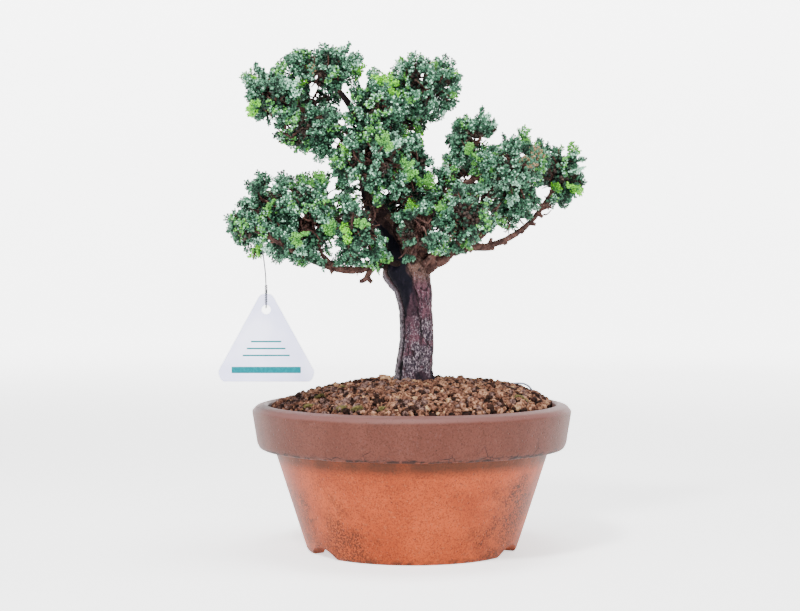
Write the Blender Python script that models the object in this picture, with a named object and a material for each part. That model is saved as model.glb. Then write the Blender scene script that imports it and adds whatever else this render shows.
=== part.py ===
"""Bonsai conifer with a trained crown, in a round terracotta pot that stands on a notched foot ring.

Metres, +Z up. The origin is the middle of the pot's underside, and the front of the plant faces -Y.
The tree is one trunk, boughs that each bear one mass of foliage, and the masses themselves. A label
hangs by a wire from the lowest left bough. The tables below are in millimetres, and MM turns them
into metres.
"""

import math
import random
from dataclasses import dataclass

import bmesh
import bpy
import numpy as np
from mathutils import Matrix, Quaternion, Vector

MM = 0.001
GAP = 0.3
SEED = 23

# The pot, turned about Z: each radius and height in millimetres.
RIM_RADIUS = 120.4
RIM_BOTTOM_RADIUS = 116.6
RIM_BOTTOM = 77.0
RIM_TOP = 105.6
LIP_RADIUS = 109.4
LIP_TOP = 110.0
BODY_TOP_RADIUS = 103.6
FOOT_RADIUS = 79.0
FOOT_WIDTH = 9.5
FOOT_HEIGHT = 9.0
FLOOR_TOP = 18.0
FLOOR_RADIUS = 76.0
DRAIN_RADIUS = 11.0
POT_STEPS = 42

# Three arched notches part the foot ring into three feet.
NOTCHES = 3
NOTCH_TURN = -25.5
NOTCH_HALF_WIDTH = 17.0
NOTCH_HEIGHT = 8.0
NOTCH_DEPTH = 34.0

# The soil fills the pot and rises to a mound with a flat seat under the trunk.
SOIL_EDGE = 107.0
SOIL_SEAT = 125.7
SEAT_RADIUS = 20.0
SOIL_STEPS = 30
MOUND_POWER = 4.3
MOUND_SKEW = 1.2

# The label: a triangle with cut corners, and the hole that its wire passes through.
LABEL_WIDTH = 70.4
LABEL_HEIGHT = 63.4
LABEL_TOP_WIDTH = 8.4
LABEL_CORNER = 7.0
LABEL_CORNER_SHIFT = 2.8
LABEL_THICKNESS = 1.0
LABEL_PLACE = (-105.4, -58.0, 129.8)
LABEL_HOLE_RADIUS = 3.3
LABEL_HOLE_DROP = 11.4
WIRE_RADIUS = 0.45
HOOK_BOUGH = "bough_left_tip"
HOOK_X = -107.5

TRUNK_SIDES = 12
BOUGH_SIDES = 6
TWIG_SIDES = 3
SPAN_STEPS = 2
FLARE_RIDGES = 5
FLARE_DEPTH = 0.06

# Foliage rule: twigs spread from the end of each stem over the mass's own space, with sprays on them.
TWIGS_PER_MASS = 8
TWIG_JITTER = 0.22
TWIG_ROOT = 0.2
TWIG_THICK = 1.3
TWIG_THIN = 0.8
STEM_RADIUS = 1.5
SIDE_SPRAYS = 2
SPRAY_LENGTH = 13.0
SPRAY_HALF_WIDTH = 4.2
SPRAY_HALF_THICKNESS = 2.8
SPRAY_SINK = 0.8
CORE_REACH = 0.76
CORE_LUMPS = (0.82, 1.12)
CELL_MARGIN = 0.035
LEAST_REACH = 0.45
TIP_REACH = 1.09
GOLDEN_ANGLE = math.pi * (3.0 - math.sqrt(5.0))


@dataclass(frozen=True)
class Limb:
    """One tapering limb: where it grows from, its path, and its radius at the root and the tip."""

    name: str
    bearer: str
    path: tuple
    thick: float
    thin: float


@dataclass(frozen=True)
class Mass:
    """One mass of foliage: the limb that bears it, the middle of its space and its half sizes."""

    name: str
    bearer: str
    centre: tuple
    half: tuple


@dataclass(frozen=True)
class Window:
    """A gap that shows the sky through the crown, front to back: its middle and half sizes across."""

    x: float
    z: float
    half_x: float
    half_z: float

    def holds(self, point, spare):
        """Whether a point lies in the gap, or nearer to it than spare."""
        across = (point[0] - self.x) / (self.half_x + spare)
        return math.hypot(across, (point[2] - self.z) / (self.half_z + spare)) < 1.0


# The trunk: a flat cut at soil level, a root flare, a stout bole, and a leader that leans to the left.
TRUNK_PATH = (
    (2, 0, 126), (2, 0, 131), (2, 0, 137), (4, 0, 158), (3, 0, 180), (1, 0, 196), (-4.5, 1, 211),
    (-12, 4, 232), (-23, 8, 250), (-31, 8, 264), (-35, 6, 286), (-35, 2, 310), (-44, 0, 330),
    (-54, -3, 344),
)
TRUNK_RADII = (16, 14.4, 13.8, 12.8, 12.6, 14.2, 18.6, 10.2, 8.2, 7, 5.6, 4.4, 3.2, 2.4)

BOUGHS = (
    Limb("bough_left_low", "trunk", ((-4, 0, 212), (-22, -8, 214), (-46, -16, 210), (-68, -24, 215),
                                     (-86, -28, 226), (-96, -30, 237)), 3.8, 1.6),
    Limb("bough_left_tip", "bough_left_low", ((-72, -25, 216), (-88, -44, 225), (-104, -57, 234),
                                              (-114, -56, 239)), 1.9, 1.1),
    Limb("bough_left_front", "bough_left_low", ((-52, -18, 210), (-60, -24, 215),
                                                (-67, -26, 222)), 2.2, 1.6),
    Limb("bough_left_inner", "trunk", ((-2, -4, 213), (-15, -19, 216), (-27, -30, 220),
                                       (-34, -35, 225)), 2.8, 1.7),
    Limb("bough_left_back", "trunk", ((-12, 4, 232), (-28, 15, 238), (-46, 24, 244),
                                      (-58, 28, 249)), 3.2, 1.8),
    Limb("bough_low_front", "trunk", ((-2, -2, 212), (1, -20, 218), (2, -28, 226)), 2.6, 1.7),
    Limb("bough_low_back", "trunk", ((-8, 3, 225), (-7, 20, 233), (-9, 33, 242)), 3.0, 1.8),
    Limb("bough_right_leader", "trunk", ((0, 1, 211), (9, -2, 228), (10, -3, 244), (14, 0, 261),
                                         (24, 4, 277), (30, 6, 290), (35, 6, 298)), 7.6, 2.2),
    Limb("bough_right_low", "trunk", ((3, 0, 204), (16, -7, 214), (30, -9, 223.5), (44, -8, 227.5),
                                      (52, -6, 227.5)), 4.6, 3.0),
    Limb("bough_right_outer", "bough_right_low", ((46, -7.5, 227.6), (54, -5, 227.5), (71, 4, 233),
                                                  (88, 18, 244), (100, 32, 257), (108, 43, 268)), 2.9, 1.6),
    Limb("bough_right_front", "bough_right_low", ((28, -8, 222), (33, -18, 228), (38, -24, 235)), 2.4, 1.7),
    Limb("bough_right_second", "bough_right_low", ((40, -8, 225), (55, 4, 238), (66, 14, 247),
                                                   (73, 20, 255)), 2.3, 1.5),
    Limb("bough_right_middle", "bough_right_leader", ((15, 1, 263), (37, -2, 274),
                                                      (59, -4, 284)), 3.0, 1.8),
    Limb("bough_right_back", "bough_right_leader", ((11, -1, 252), (24, 18, 260), (37, 38, 269)), 3.0, 1.8),
    Limb("bough_centre_right", "trunk", ((-32, 8, 267), (-18, 4, 277), (-8, 0, 286)), 2.8, 1.7),
    Limb("bough_centre_front", "trunk", ((-30, 8, 263), (-27, -6, 268), (-24, -15, 275)), 2.8, 1.7),
    Limb("bough_upper_left", "trunk", ((-35, 6, 288), (-50, -4, 307), (-67, -12, 322),
                                       (-85, -17, 331)), 3.2, 1.7),
    Limb("bough_upper_left_low", "trunk", ((-34, 7, 278), (-50, 0, 290), (-66, -7, 303)), 2.8, 1.6),
    Limb("bough_upper_left_back", "trunk", ((-35, 3, 302), (-50, 18, 316), (-65, 29, 327)), 2.8, 1.6),
    Limb("bough_top_right", "trunk", ((-35, 5, 294), (-23, 4, 318), (-9, 2, 334), (0, 0, 342)), 3.2, 1.8),
    Limb("bough_upper_back", "trunk", ((-36, 2, 311), (-34, 16, 318), (-22, 29, 326)), 2.6, 1.6),
)

MASSES = (
    Mass("foliage_top_left", "trunk", (-67, -5, 359), (33, 32, 20)),
    Mass("foliage_upper_left", "bough_upper_left", (-102, -20, 339), (25, 30, 24)),
    Mass("foliage_upper_left_low", "bough_upper_left_low", (-75, -12, 316), (31, 28, 19)),
    Mass("foliage_upper_left_back", "bough_upper_left_back", (-80, 38, 339), (30, 28, 25)),
    Mass("foliage_upper_middle", "trunk", (-28, -12, 330), (27, 30, 30)),
    Mass("foliage_top_right", "bough_top_right", (9, 0, 349), (29, 31, 26)),
    Mass("foliage_upper_back", "bough_upper_back", (-9, 42, 332), (36, 28, 30)),
    Mass("foliage_centre_front", "bough_centre_front", (-28, -30, 288), (34, 30, 34)),
    Mass("foliage_centre_right", "bough_centre_right", (-1, -5, 285), (20, 28, 32)),
    Mass("foliage_right_upper", "bough_right_leader", (44, 5, 307), (21, 26, 23)),
    Mass("foliage_right_middle", "bough_right_middle", (76, -5, 287), (29, 32, 27)),
    Mass("foliage_right_far", "bough_right_outer", (115, 55, 286), (25, 30, 27)),
    Mass("foliage_right_low", "bough_right_front", (40, -26, 249), (28, 32, 28)),
    Mass("foliage_right_under", "bough_right_second", (78, 25, 264), (23, 26, 20)),
    Mass("foliage_right_back", "bough_right_back", (54, 54, 276), (35, 30, 35)),
    Mass("foliage_left_far", "bough_left_low", (-104, -30, 252), (27, 32, 33)),
    Mass("foliage_left_tip", "bough_left_tip", (-124, -54, 241), (13, 17, 11)),
    Mass("foliage_left_front", "bough_left_front", (-74, -27, 246), (28, 36, 34)),
    Mass("foliage_left_inner", "bough_left_inner", (-41, -38, 241), (26, 30, 31)),
    Mass("foliage_left_back", "bough_left_back", (-77, 32, 258), (39, 34, 28)),
    Mass("foliage_low_back", "bough_low_back", (-7, 50, 254), (41, 32, 36)),
    Mass("foliage_low_front", "bough_low_front", (5, -36, 238), (25, 26, 26)),
)

WINDOWS = (Window(-75, 346, 5.5, 12.5),)

COLOURS = {
    "terracotta": ((0.55, 0.21, 0.11), 0.85),
    "soil": ((0.16, 0.07, 0.04), 0.95),
    "bark": ((0.09, 0.06, 0.055), 0.85),
    "foliage": ((0.07, 0.19, 0.11), 0.7),
    "label": ((0.86, 0.87, 0.95), 0.4),
    "wire": ((0.12, 0.11, 0.10), 0.5),
}


def clear_scene():
    """Removes every object, so that only the plant is left."""
    for old in list(bpy.data.objects):
        bpy.data.objects.remove(old, do_unlink=True)


def material(name):
    """The Principled material of that name, made once."""
    found = bpy.data.materials.get(name)
    if found:
        return found
    colour, roughness = COLOURS[name]
    made = bpy.data.materials.new(name)
    made.use_nodes = True
    shader = made.node_tree.nodes["Principled BSDF"]
    shader.inputs["Base Color"].default_value = (*colour, 1.0)
    shader.inputs["Roughness"].default_value = roughness
    shader.inputs["Metallic"].default_value = 0.6 if name == "wire" else 0.0
    return made


def object_from(bm, name, finish, smooth_angle=None):
    """Turns a bmesh into a named object of that finish, and frees the bmesh."""
    bmesh.ops.recalc_face_normals(bm, faces=bm.faces)
    mesh = bpy.data.meshes.new(name)
    bm.to_mesh(mesh)
    bm.free()
    if smooth_angle is not None:
        mesh.shade_smooth()
        mesh.set_sharp_from_angle(angle=math.radians(smooth_angle))
    mesh.materials.append(material(finish))
    made = bpy.data.objects.new(name, mesh)
    bpy.context.scene.collection.objects.link(made)
    return made


def bake_modifiers(target):
    """Replaces the object's mesh by what its modifiers make of it."""
    bpy.context.view_layer.update()
    graph = bpy.context.evaluated_depsgraph_get()
    finish = target.data.materials[0]
    result = bpy.data.meshes.new_from_object(target.evaluated_get(graph))
    target.modifiers.clear()
    target.data = result
    target.data.materials.clear()
    target.data.materials.append(finish)


def cut_away(target, cutter):
    """Cuts one closed object out of another and removes the cutter."""
    boolean = target.modifiers.new("cut", "BOOLEAN")
    boolean.operation = "DIFFERENCE"
    boolean.object = cutter
    bake_modifiers(target)
    bpy.data.objects.remove(cutter, do_unlink=True)


def turned(profile, steps):
    """A bmesh turned about Z from an open profile of (radius, height) points in millimetres."""
    bm = bmesh.new()
    verts = [bm.verts.new((radius * MM, 0.0, height * MM)) for radius, height in profile]
    for first, second in zip(verts, verts[1:]):
        bm.edges.new((first, second))
    bmesh.ops.spin(bm, geom=bm.verts[:] + bm.edges[:], cent=(0, 0, 0), axis=(0, 0, 1),
                   angle=math.tau, steps=steps, use_merge=True, use_duplicate=False)
    bmesh.ops.remove_doubles(bm, verts=bm.verts, dist=1e-6)
    return bm


def inner_radius(height):
    """The radius of the pot's inner wall at that height."""
    share = (height - FLOOR_TOP) / (RIM_TOP - FLOOR_TOP)
    return FLOOR_RADIUS + share * (LIP_RADIUS - 1.2 - FLOOR_RADIUS)


def build_pot():
    """The pot: thick rim over a tapering body, a drain hole, and a foot ring with three notches."""
    profile = [
        (DRAIN_RADIUS, FOOT_HEIGHT), (FOOT_RADIUS - FOOT_WIDTH, FOOT_HEIGHT),
        (FOOT_RADIUS - FOOT_WIDTH + 0.6, 0.0), (FOOT_RADIUS - 1.2, 0.0), (FOOT_RADIUS + 0.4, 1.3),
        (BODY_TOP_RADIUS, RIM_BOTTOM - 1.5), (BODY_TOP_RADIUS + 1.4, RIM_BOTTOM - 0.4),
        (RIM_BOTTOM_RADIUS - 3.0, RIM_BOTTOM), (RIM_BOTTOM_RADIUS - 0.8, RIM_BOTTOM + 1.6),
        (RIM_BOTTOM_RADIUS, RIM_BOTTOM + 5.0), (RIM_RADIUS - 0.4, RIM_TOP - 4.0),
        (RIM_RADIUS, RIM_TOP - 1.4),
        (RIM_RADIUS - 1.4, RIM_TOP + 1.6), (RIM_RADIUS - 5.0, RIM_TOP + 3.4), (LIP_RADIUS + 1.6, LIP_TOP),
        (LIP_RADIUS - 0.2, LIP_TOP - 0.6), (inner_radius(RIM_TOP), RIM_TOP), (FLOOR_RADIUS, FLOOR_TOP),
        (DRAIN_RADIUS, FLOOR_TOP), (DRAIN_RADIUS, FOOT_HEIGHT),
    ]
    pot = object_from(turned(profile, POT_STEPS), "pot", "terracotta", 35)
    arch_radius = (NOTCH_HALF_WIDTH**2 + NOTCH_HEIGHT**2) / (2 * NOTCH_HEIGHT)
    for index in range(NOTCHES):
        angle = math.radians(NOTCH_TURN + 360.0 / NOTCHES * index)
        outwards = Vector((math.cos(angle), math.sin(angle), 0.0))
        arch = bmesh.new()
        bmesh.ops.create_cone(arch, cap_ends=True, segments=24, radius1=arch_radius * MM,
                              radius2=arch_radius * MM, depth=NOTCH_DEPTH * MM)
        middle = outwards * (FOOT_RADIUS - 2.0) + Vector((0, 0, NOTCH_HEIGHT - arch_radius))
        turn = outwards.to_track_quat("Z", "Y").to_matrix().to_4x4()
        arch.transform(Matrix.Translation(middle * MM) @ turn)
        cut_away(pot, object_from(arch, "notch", "terracotta"))


def mound_height(x, y):
    """The soil's surface, in millimetres: steeper towards the left edge than towards the right."""
    radius = math.hypot(x, y)
    if radius <= SEAT_RADIUS:
        return SOIL_SEAT
    edge = inner_radius(SOIL_EDGE) - GAP
    share = min((radius - SEAT_RADIUS) / (edge - SEAT_RADIUS), 1.0)
    power = MOUND_POWER - 1.0 + MOUND_SKEW * x / radius
    bump = 0.5 * math.sin(0.11 * x + 1.0) * math.sin(0.13 * y) * (1.0 - share) * min(1.0, 4 * share)
    return SOIL_EDGE - 0.8 + (SOIL_SEAT - SOIL_EDGE + 0.8) * (1.0 - share**power) + bump


def build_soil():
    """The soil: it fills the pot to 0.3 mm from its wall and rises to a mound."""
    edge = inner_radius(SOIL_EDGE - 0.8) - GAP - 0.2
    rings = (edge, 101.0, 91.0, 77.0, 60.0, 40.0, SEAT_RADIUS, 0.0)
    profile = [(0.0, FLOOR_TOP + GAP), (FLOOR_RADIUS - GAP - 0.2, FLOOR_TOP + GAP)]
    profile += [(radius, SOIL_EDGE) for radius in rings]
    bm = turned(profile, SOIL_STEPS)
    for vert in bm.verts:
        if vert.co.z > (SOIL_EDGE - 0.5) * MM:
            vert.co.z = mound_height(vert.co.x / MM, vert.co.y / MM) * MM
    return object_from(bm, "soil", "soil", 60)


def smooth_path(points, values, steps):
    """Points on a Catmull-Rom curve through the given ones, with a value carried along to each."""
    points = [Vector(point) for point in points]
    ends = [2 * points[0] - points[1], *points, 2 * points[-1] - points[-2]]
    places, carried = [], []
    for span in range(len(points) - 1):
        before, start, stop, after = ends[span:span + 4]
        for step in range(steps):
            t = step / steps
            places.append(0.5 * (2 * start + (stop - before) * t
                                 + (2 * before - 5 * start + 4 * stop - after) * t**2
                                 + (3 * start - before - 3 * stop + after) * t**3))
            carried.append(values[span] + (values[span + 1] - values[span]) * t)
    return [*places, points[-1]], [*carried, values[-1]]


def add_tube(bm, places, radii, sides, ridge=None):
    """Adds a closed tube round a path to the bmesh. ridge(angle, share) scales the radius of each point."""
    turn = Quaternion()
    heading = Vector((0, 0, 1))
    loops = []
    for index, (place, radius) in enumerate(zip(places, radii)):
        ahead = places[min(index + 1, len(places) - 1)] - places[max(index - 1, 0)]
        turn = heading.rotation_difference(ahead.normalized()) @ turn
        heading = ahead.normalized()
        ring = bmesh.ops.create_circle(bm, cap_ends=False, segments=sides, radius=radius * MM)["verts"]
        for vert in ring:
            scale = ridge(math.atan2(vert.co.y, vert.co.x), index / (len(places) - 1)) if ridge else 1.0
            vert.co = turn @ (vert.co * scale) + place * MM
        loops.append(list({edge for vert in ring for edge in vert.link_edges}))
    for first, second in zip(loops, loops[1:]):
        bmesh.ops.bridge_loops(bm, edges=first + second)
    for loop in (loops[0], loops[-1]):
        bmesh.ops.contextual_create(bm, geom=loop)


def limb_points(limb):
    """A limb's smooth path and its radius at each point of it, in millimetres."""
    if limb.name == "trunk":
        return smooth_path(limb.path, TRUNK_RADII, 2)
    count = len(limb.path) - 1
    radii = [limb.thick + (limb.thin - limb.thick) * (index / count) ** 0.8 for index in range(count + 1)]
    return smooth_path(limb.path, radii, SPAN_STEPS)


def root_ridge(angle, share):
    """Low ridges round the trunk, strongest at the root flare."""
    strength = FLARE_DEPTH * (0.35 + 0.65 * max(0.0, 1.0 - 5.0 * share))
    return 1.0 + strength * math.sin(FLARE_RIDGES * angle + 9.0 * share)


def limb_tube(limb, name, spare=0.0):
    """A limb's tube as an object. spare makes it that much fatter all over, as a cutter needs."""
    places, radii = limb_points(limb)
    if spare:
        places = [places[0] - (places[1] - places[0]).normalized() * spare, *places[1:-1],
                  places[-1] + (places[-1] - places[-2]).normalized() * spare]
        radii = [radius + spare for radius in radii]
    bm = bmesh.new()
    is_trunk = limb.name == "trunk"
    add_tube(bm, places, radii, TRUNK_SIDES if is_trunk else BOUGH_SIDES, root_ridge if is_trunk else None)
    return object_from(bm, name, "bark", 50)


def build_limbs(limbs):
    """The trunk and the boughs. Each bough's root is cut to follow its bearer's surface."""
    made = {}
    for limb in limbs.values():
        made[limb.name] = limb_tube(limb, limb.name)
        if limb.bearer:
            cut_away(made[limb.name], limb_tube(limbs[limb.bearer], "bearer", GAP))
            keep_largest_shell(made[limb.name])
    return made


def keep_largest_shell(target):
    """Drops every loose shell of a mesh but the largest, and with it any sealed hollow."""
    bm = bmesh.new()
    bm.from_mesh(target.data)
    left = set(bm.verts)
    shells = []
    while left:
        shell = set()
        waiting = [left.pop()]
        while waiting:
            vert = waiting.pop()
            shell.add(vert)
            near = {edge.other_vert(vert) for edge in vert.link_edges} & left
            waiting += near
            left -= near
        shells.append(shell)
    shells.sort(key=len)
    loose = [vert for shell in shells[:-1] for vert in shell]
    bmesh.ops.delete(bm, geom=loose, context="VERTS")
    bm.to_mesh(target.data)
    bm.free()


class Thicket:
    """What a twig has to stay clear of: the limbs, the wire and the spaces of the other masses."""

    def __init__(self, limbs, wire_path):
        starts, stops, start_radii, stop_radii = [], [], [], []
        for limb in limbs.values():
            places, radii = limb_points(limb)
            starts += places[:-1]
            stops += places[1:]
            start_radii += radii[:-1]
            stop_radii += radii[1:]
        starts += wire_path[:-1]
        stops += wire_path[1:]
        spare = [WIRE_RADIUS + 1.0] * (len(wire_path) - 1)
        self.starts = np.array([tuple(start) for start in starts])
        self.along = np.array([tuple(stop) for stop in stops]) - self.starts
        self.radii = np.array(start_radii + spare)
        self.growth = np.array(stop_radii + spare) - self.radii
        self.centres = np.array([mass.centre for mass in MASSES], float)
        self.halves = np.array([mass.half for mass in MASSES], float)

    def limb_gap(self, point):
        """How far a point is from the nearest limb's surface."""
        away = np.array(tuple(point)) - self.starts
        share = (away * self.along).sum(1) / (self.along**2).sum(1)
        share = np.clip(share, 0.0, 1.0)
        distance = np.linalg.norm(away - share[:, None] * self.along, axis=1)
        return float((distance - self.radii - share * self.growth).min())

    def is_own(self, index, point, margin=CELL_MARGIN, reach=1.0):
        """Whether a point is in the space of that mass, clear of every window and other mass's space."""
        if any(window.holds(point, GAP) for window in WINDOWS):
            return False
        shares = np.linalg.norm((np.array(tuple(point)) - self.centres) / self.halves, axis=1)
        own = shares[index]
        shares[index] = np.inf
        return own <= reach and shares.min() - own >= margin

    def free_reach(self, index, heading, margin):
        """How far a mass's space reaches from its middle along a heading, as a share of its half size."""
        centre = Vector(MASSES[index].centre)
        half = Vector(MASSES[index].half)
        reach = 0.0
        while reach < 1.0 and self.is_own(index, centre + heading * half * (reach + 0.04), margin, 1.01):
            reach += 0.04
        return reach


def spray_bmesh(root, heading, length, roll):
    """A plump spray of scale leaves: a four-sided body from its root, pointed at both ends."""
    bm = bmesh.new()
    bmesh.ops.create_uvsphere(bm, u_segments=4, v_segments=2, radius=1.0)
    bmesh.ops.remove_doubles(bm, verts=bm.verts, dist=1e-4)
    shape = Matrix.Diagonal((SPRAY_HALF_WIDTH * MM, SPRAY_HALF_THICKNESS * MM, length * MM / 2, 1.0))
    turn = (heading.to_track_quat("Z", "Y") @ Quaternion((0, 0, 1), roll)).to_matrix().to_4x4()
    bm.transform(Matrix.Translation((root + heading * length / 2) * MM) @ turn @ shape)
    return bm


def twig_bmesh(start, stop, thick, thin):
    """A tapering three-sided twig between two points."""
    bm = bmesh.new()
    along = stop - start
    bmesh.ops.create_cone(bm, cap_ends=True, segments=TWIG_SIDES, radius1=thick * MM, radius2=thin * MM,
                          depth=along.length * MM)
    turn = along.normalized().to_track_quat("Z", "Y").to_matrix().to_4x4()
    bm.transform(Matrix.Translation((start + stop) / 2 * MM) @ turn)
    return bm


def is_clear(thicket, index, start, stop, half_width, reach=1.0):
    """Whether a twig or spray from start to stop stays in its mass's space and touches no limb."""
    for share in (0.0, 0.25, 0.5, 0.75, 1.0):
        point = start.lerp(stop, share)
        bulge = half_width * (1.0 - abs(2 * share - 1.0)) + 0.2
        if thicket.limb_gap(point) < bulge + GAP:
            return False
        margin = CELL_MARGIN + bulge / min(MASSES[index].half)
        if not thicket.is_own(index, point, margin, reach):
            return False
    return True


def spiral_headings(count, start_turn):
    """Headings spread evenly over a sphere, on a golden spiral from its right side to its left."""
    for step in range(count):
        rise = 1.0 - 2.0 * (step + 0.5) / count
        flat = math.sqrt(1.0 - rise * rise)
        angle = start_turn + GOLDEN_ANGLE * step
        yield Vector((rise, flat * math.cos(angle), flat * math.sin(angle)))


def grow_mass(mass, index, thicket, limbs):
    """One mass of foliage: a stem from its limb, twigs with sprays on them, and a lumpy core."""
    rng = random.Random(SEED + 7 * index)
    centre = Vector(mass.centre)
    half = Vector(mass.half)
    shapes = []
    stem = stem_points(mass, limbs)
    for first, second in zip(stem, stem[1:]):
        lap = (second - first).normalized() * 0.4
        shapes.append(twig_bmesh(first, second + lap, STEM_RADIUS, STEM_RADIUS * 0.8))
    for heading in spiral_headings(TWIGS_PER_MASS, rng.uniform(0, math.tau)):
        sway = Vector([rng.uniform(-TWIG_JITTER, TWIG_JITTER) for _ in range(3)])
        heading = (heading + sway).normalized()
        reach = thicket.free_reach(index, heading, 1.6 * CELL_MARGIN)
        if reach >= LEAST_REACH:
            tip = centre + heading * half * reach * rng.uniform(1.0, TIP_REACH)
            shapes += twig_with_sprays(index, thicket, centre, tip, (heading * half).normalized(), rng)
    core = core_object(mass, index, thicket, limbs, rng)
    join_shapes(core, shapes)
    keep_largest_shell(core)


def twig_with_sprays(index, thicket, centre, tip, outwards, rng):
    """One twig from near the middle of a mass, with a spray at its end and others at its sides."""
    length = SPRAY_LENGTH * rng.uniform(0.85, 1.15)
    end = tip - outwards * length * 0.8
    root = centre.lerp(end, TWIG_ROOT)
    if not is_clear(thicket, index, root, end, TWIG_THIN):
        return []
    shapes = [twig_bmesh(root, end, TWIG_THICK, TWIG_THIN)]
    if is_clear(thicket, index, end - outwards * 2, tip, SPRAY_HALF_WIDTH, TIP_REACH):
        shapes.append(spray_bmesh(tip - outwards * length, outwards, length, rng.uniform(0, math.pi)))
    side = outwards.orthogonal().normalized()
    side.rotate(Quaternion(outwards, rng.uniform(0, math.tau)))
    for turn in range(SIDE_SPRAYS):
        lean = Quaternion(outwards, math.tau * turn / SIDE_SPRAYS) @ side
        aim = (outwards * rng.uniform(0.35, 0.6) + lean).normalized()
        base = root.lerp(end, rng.uniform(0.72, 0.95))
        if is_clear(thicket, index, base, base + aim * length * 0.95, SPRAY_HALF_WIDTH, TIP_REACH):
            shapes.append(spray_bmesh(base - aim * SPRAY_SINK, aim, length * 0.95, rng.uniform(0, math.pi)))
    return shapes


def stem_points(mass, limbs):
    """The stem's way from 0.3 mm beyond its limb to the middle of the mass."""
    places, radii = limb_points(limbs[mass.bearer])
    centre = Vector(mass.centre)
    if mass.name == "foliage_upper_middle":
        nearest = min(range(len(places)), key=lambda step: (places[step] - centre).length)
        away = (centre - places[nearest]).normalized()
        start = places[nearest] + away * (radii[nearest] + GAP + 0.5)
    else:
        away = (places[-1] - places[-2]).normalized()
        start = places[-1] + away * (GAP + 0.1)
    return [start, start + away * 2.5, centre]


def core_object(mass, index, thicket, limbs, rng):
    """The lumpy core of a mass, kept in its own space and cut clear of every limb that passes it."""
    bm = bmesh.new()
    bmesh.ops.create_icosphere(bm, subdivisions=2, radius=1.0)
    centre = Vector(mass.centre)
    half = Vector(mass.half)
    for vert in bm.verts:
        heading = vert.co.normalized()
        own_reach = thicket.free_reach(index, heading, 2.5 * CELL_MARGIN)
        reach = min(CORE_REACH * rng.uniform(*CORE_LUMPS), own_reach)
        vert.co = (centre + heading * half * reach) * MM
    core = object_from(bm, mass.name, "foliage")
    size = max(mass.half)
    for limb in limbs.values():
        places, radii = limb_points(limb)
        if min((place - centre).length - radius for place, radius in zip(places, radii)) < size:
            cut_away(core, limb_tube(limb, "limb_room", 2 * GAP))
    for window in WINDOWS:
        if math.hypot(window.x - centre.x, window.z - centre.z) < size + window.half_z:
            cut_away(core, window_room(window))
    keep_largest_shell(core)
    return core


def window_room(window):
    """A cutter the shape of a window, from the front of the crown to its back."""
    bm = bmesh.new()
    bmesh.ops.create_cone(bm, cap_ends=True, segments=12, radius1=1.0, radius2=1.0, depth=200 * MM)
    shape = Matrix.Diagonal((window.half_x * MM, window.half_z * MM, 1.0, 1.0))
    place = Matrix.Translation(Vector((window.x, 0, window.z)) * MM)
    bm.transform(place @ Matrix.Rotation(math.pi / 2, 4, "X") @ shape)
    return object_from(bm, "window_room", "foliage")


def join_shapes(core, shapes):
    """Fuses the shapes onto the core by one union on a collection, and removes the collection's objects."""
    group = bpy.data.collections.new("to_fuse")
    for shape in shapes:
        piece = object_from(shape, "fused", "foliage")
        bpy.context.scene.collection.objects.unlink(piece)
        group.objects.link(piece)
    bpy.context.scene.collection.children.link(group)
    union = core.modifiers.new("fuse", "BOOLEAN")
    union.operation = "UNION"
    union.operand_type = "COLLECTION"
    union.collection = group
    bake_modifiers(core)
    for piece in list(group.objects):
        bpy.data.objects.remove(piece, do_unlink=True)
    bpy.data.collections.remove(group)


def hook_seat(limbs):
    """Where the wire hooks over its bough: the bough's middle there, and the hook's own radius."""
    places, radii = limb_points(limbs[HOOK_BOUGH])
    for first, second, radius in zip(places, places[1:], radii):
        if second.x <= HOOK_X <= first.x:
            share = (first.x - HOOK_X) / (first.x - second.x)
            return first.lerp(second, share), 1.15 * radius + WIRE_RADIUS + GAP
    raise ValueError("the label's bough does not reach its hook")


def wire_points(limbs):
    """The wire's way: a hook over the bough, down in front of the label, and back up through its hole."""
    seat, room = hook_seat(limbs)
    x, y, z = LABEL_PLACE
    hole = z + LABEL_HEIGHT - LABEL_HOLE_DROP
    clear = LABEL_THICKNESS / 2 + WIRE_RADIUS + 0.35
    path = [
        seat + Vector((0, room, -4)), seat + Vector((0, room, 0)), seat + Vector((0, 0, room)),
        seat + Vector((0, -room, 0)), seat + Vector((0.1, 0.3 - room, -12)),
        Vector((x - 0.4, y - clear, hole + 26)), Vector((x, y - clear, hole + 14)),
        Vector((x, y - clear, hole + 2.6)), Vector((x, y, hole + 1.6)),
        Vector((x, y + clear, hole + 2.6)), Vector((x + 0.2, y + clear, hole + 14)),
    ]
    return smooth_path(path, [0] * len(path), 3)[0]


def build_wire(limbs):
    """The label's wire, as one bent round rod."""
    curve = bpy.data.curves.new("label_wire", "CURVE")
    curve.dimensions = "3D"
    places = wire_points(limbs)
    spline = curve.splines.new("POLY")
    spline.points.add(len(places) - 1)
    for point, place in zip(spline.points, places):
        point.co = (*(place * MM), 1.0)
    curve.bevel_depth = WIRE_RADIUS * MM
    curve.bevel_resolution = 1
    curve.use_fill_caps = True
    curve.materials.append(material("wire"))
    wire = bpy.data.objects.new("label_wire", curve)
    bpy.context.scene.collection.objects.link(wire)
    return wire


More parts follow.
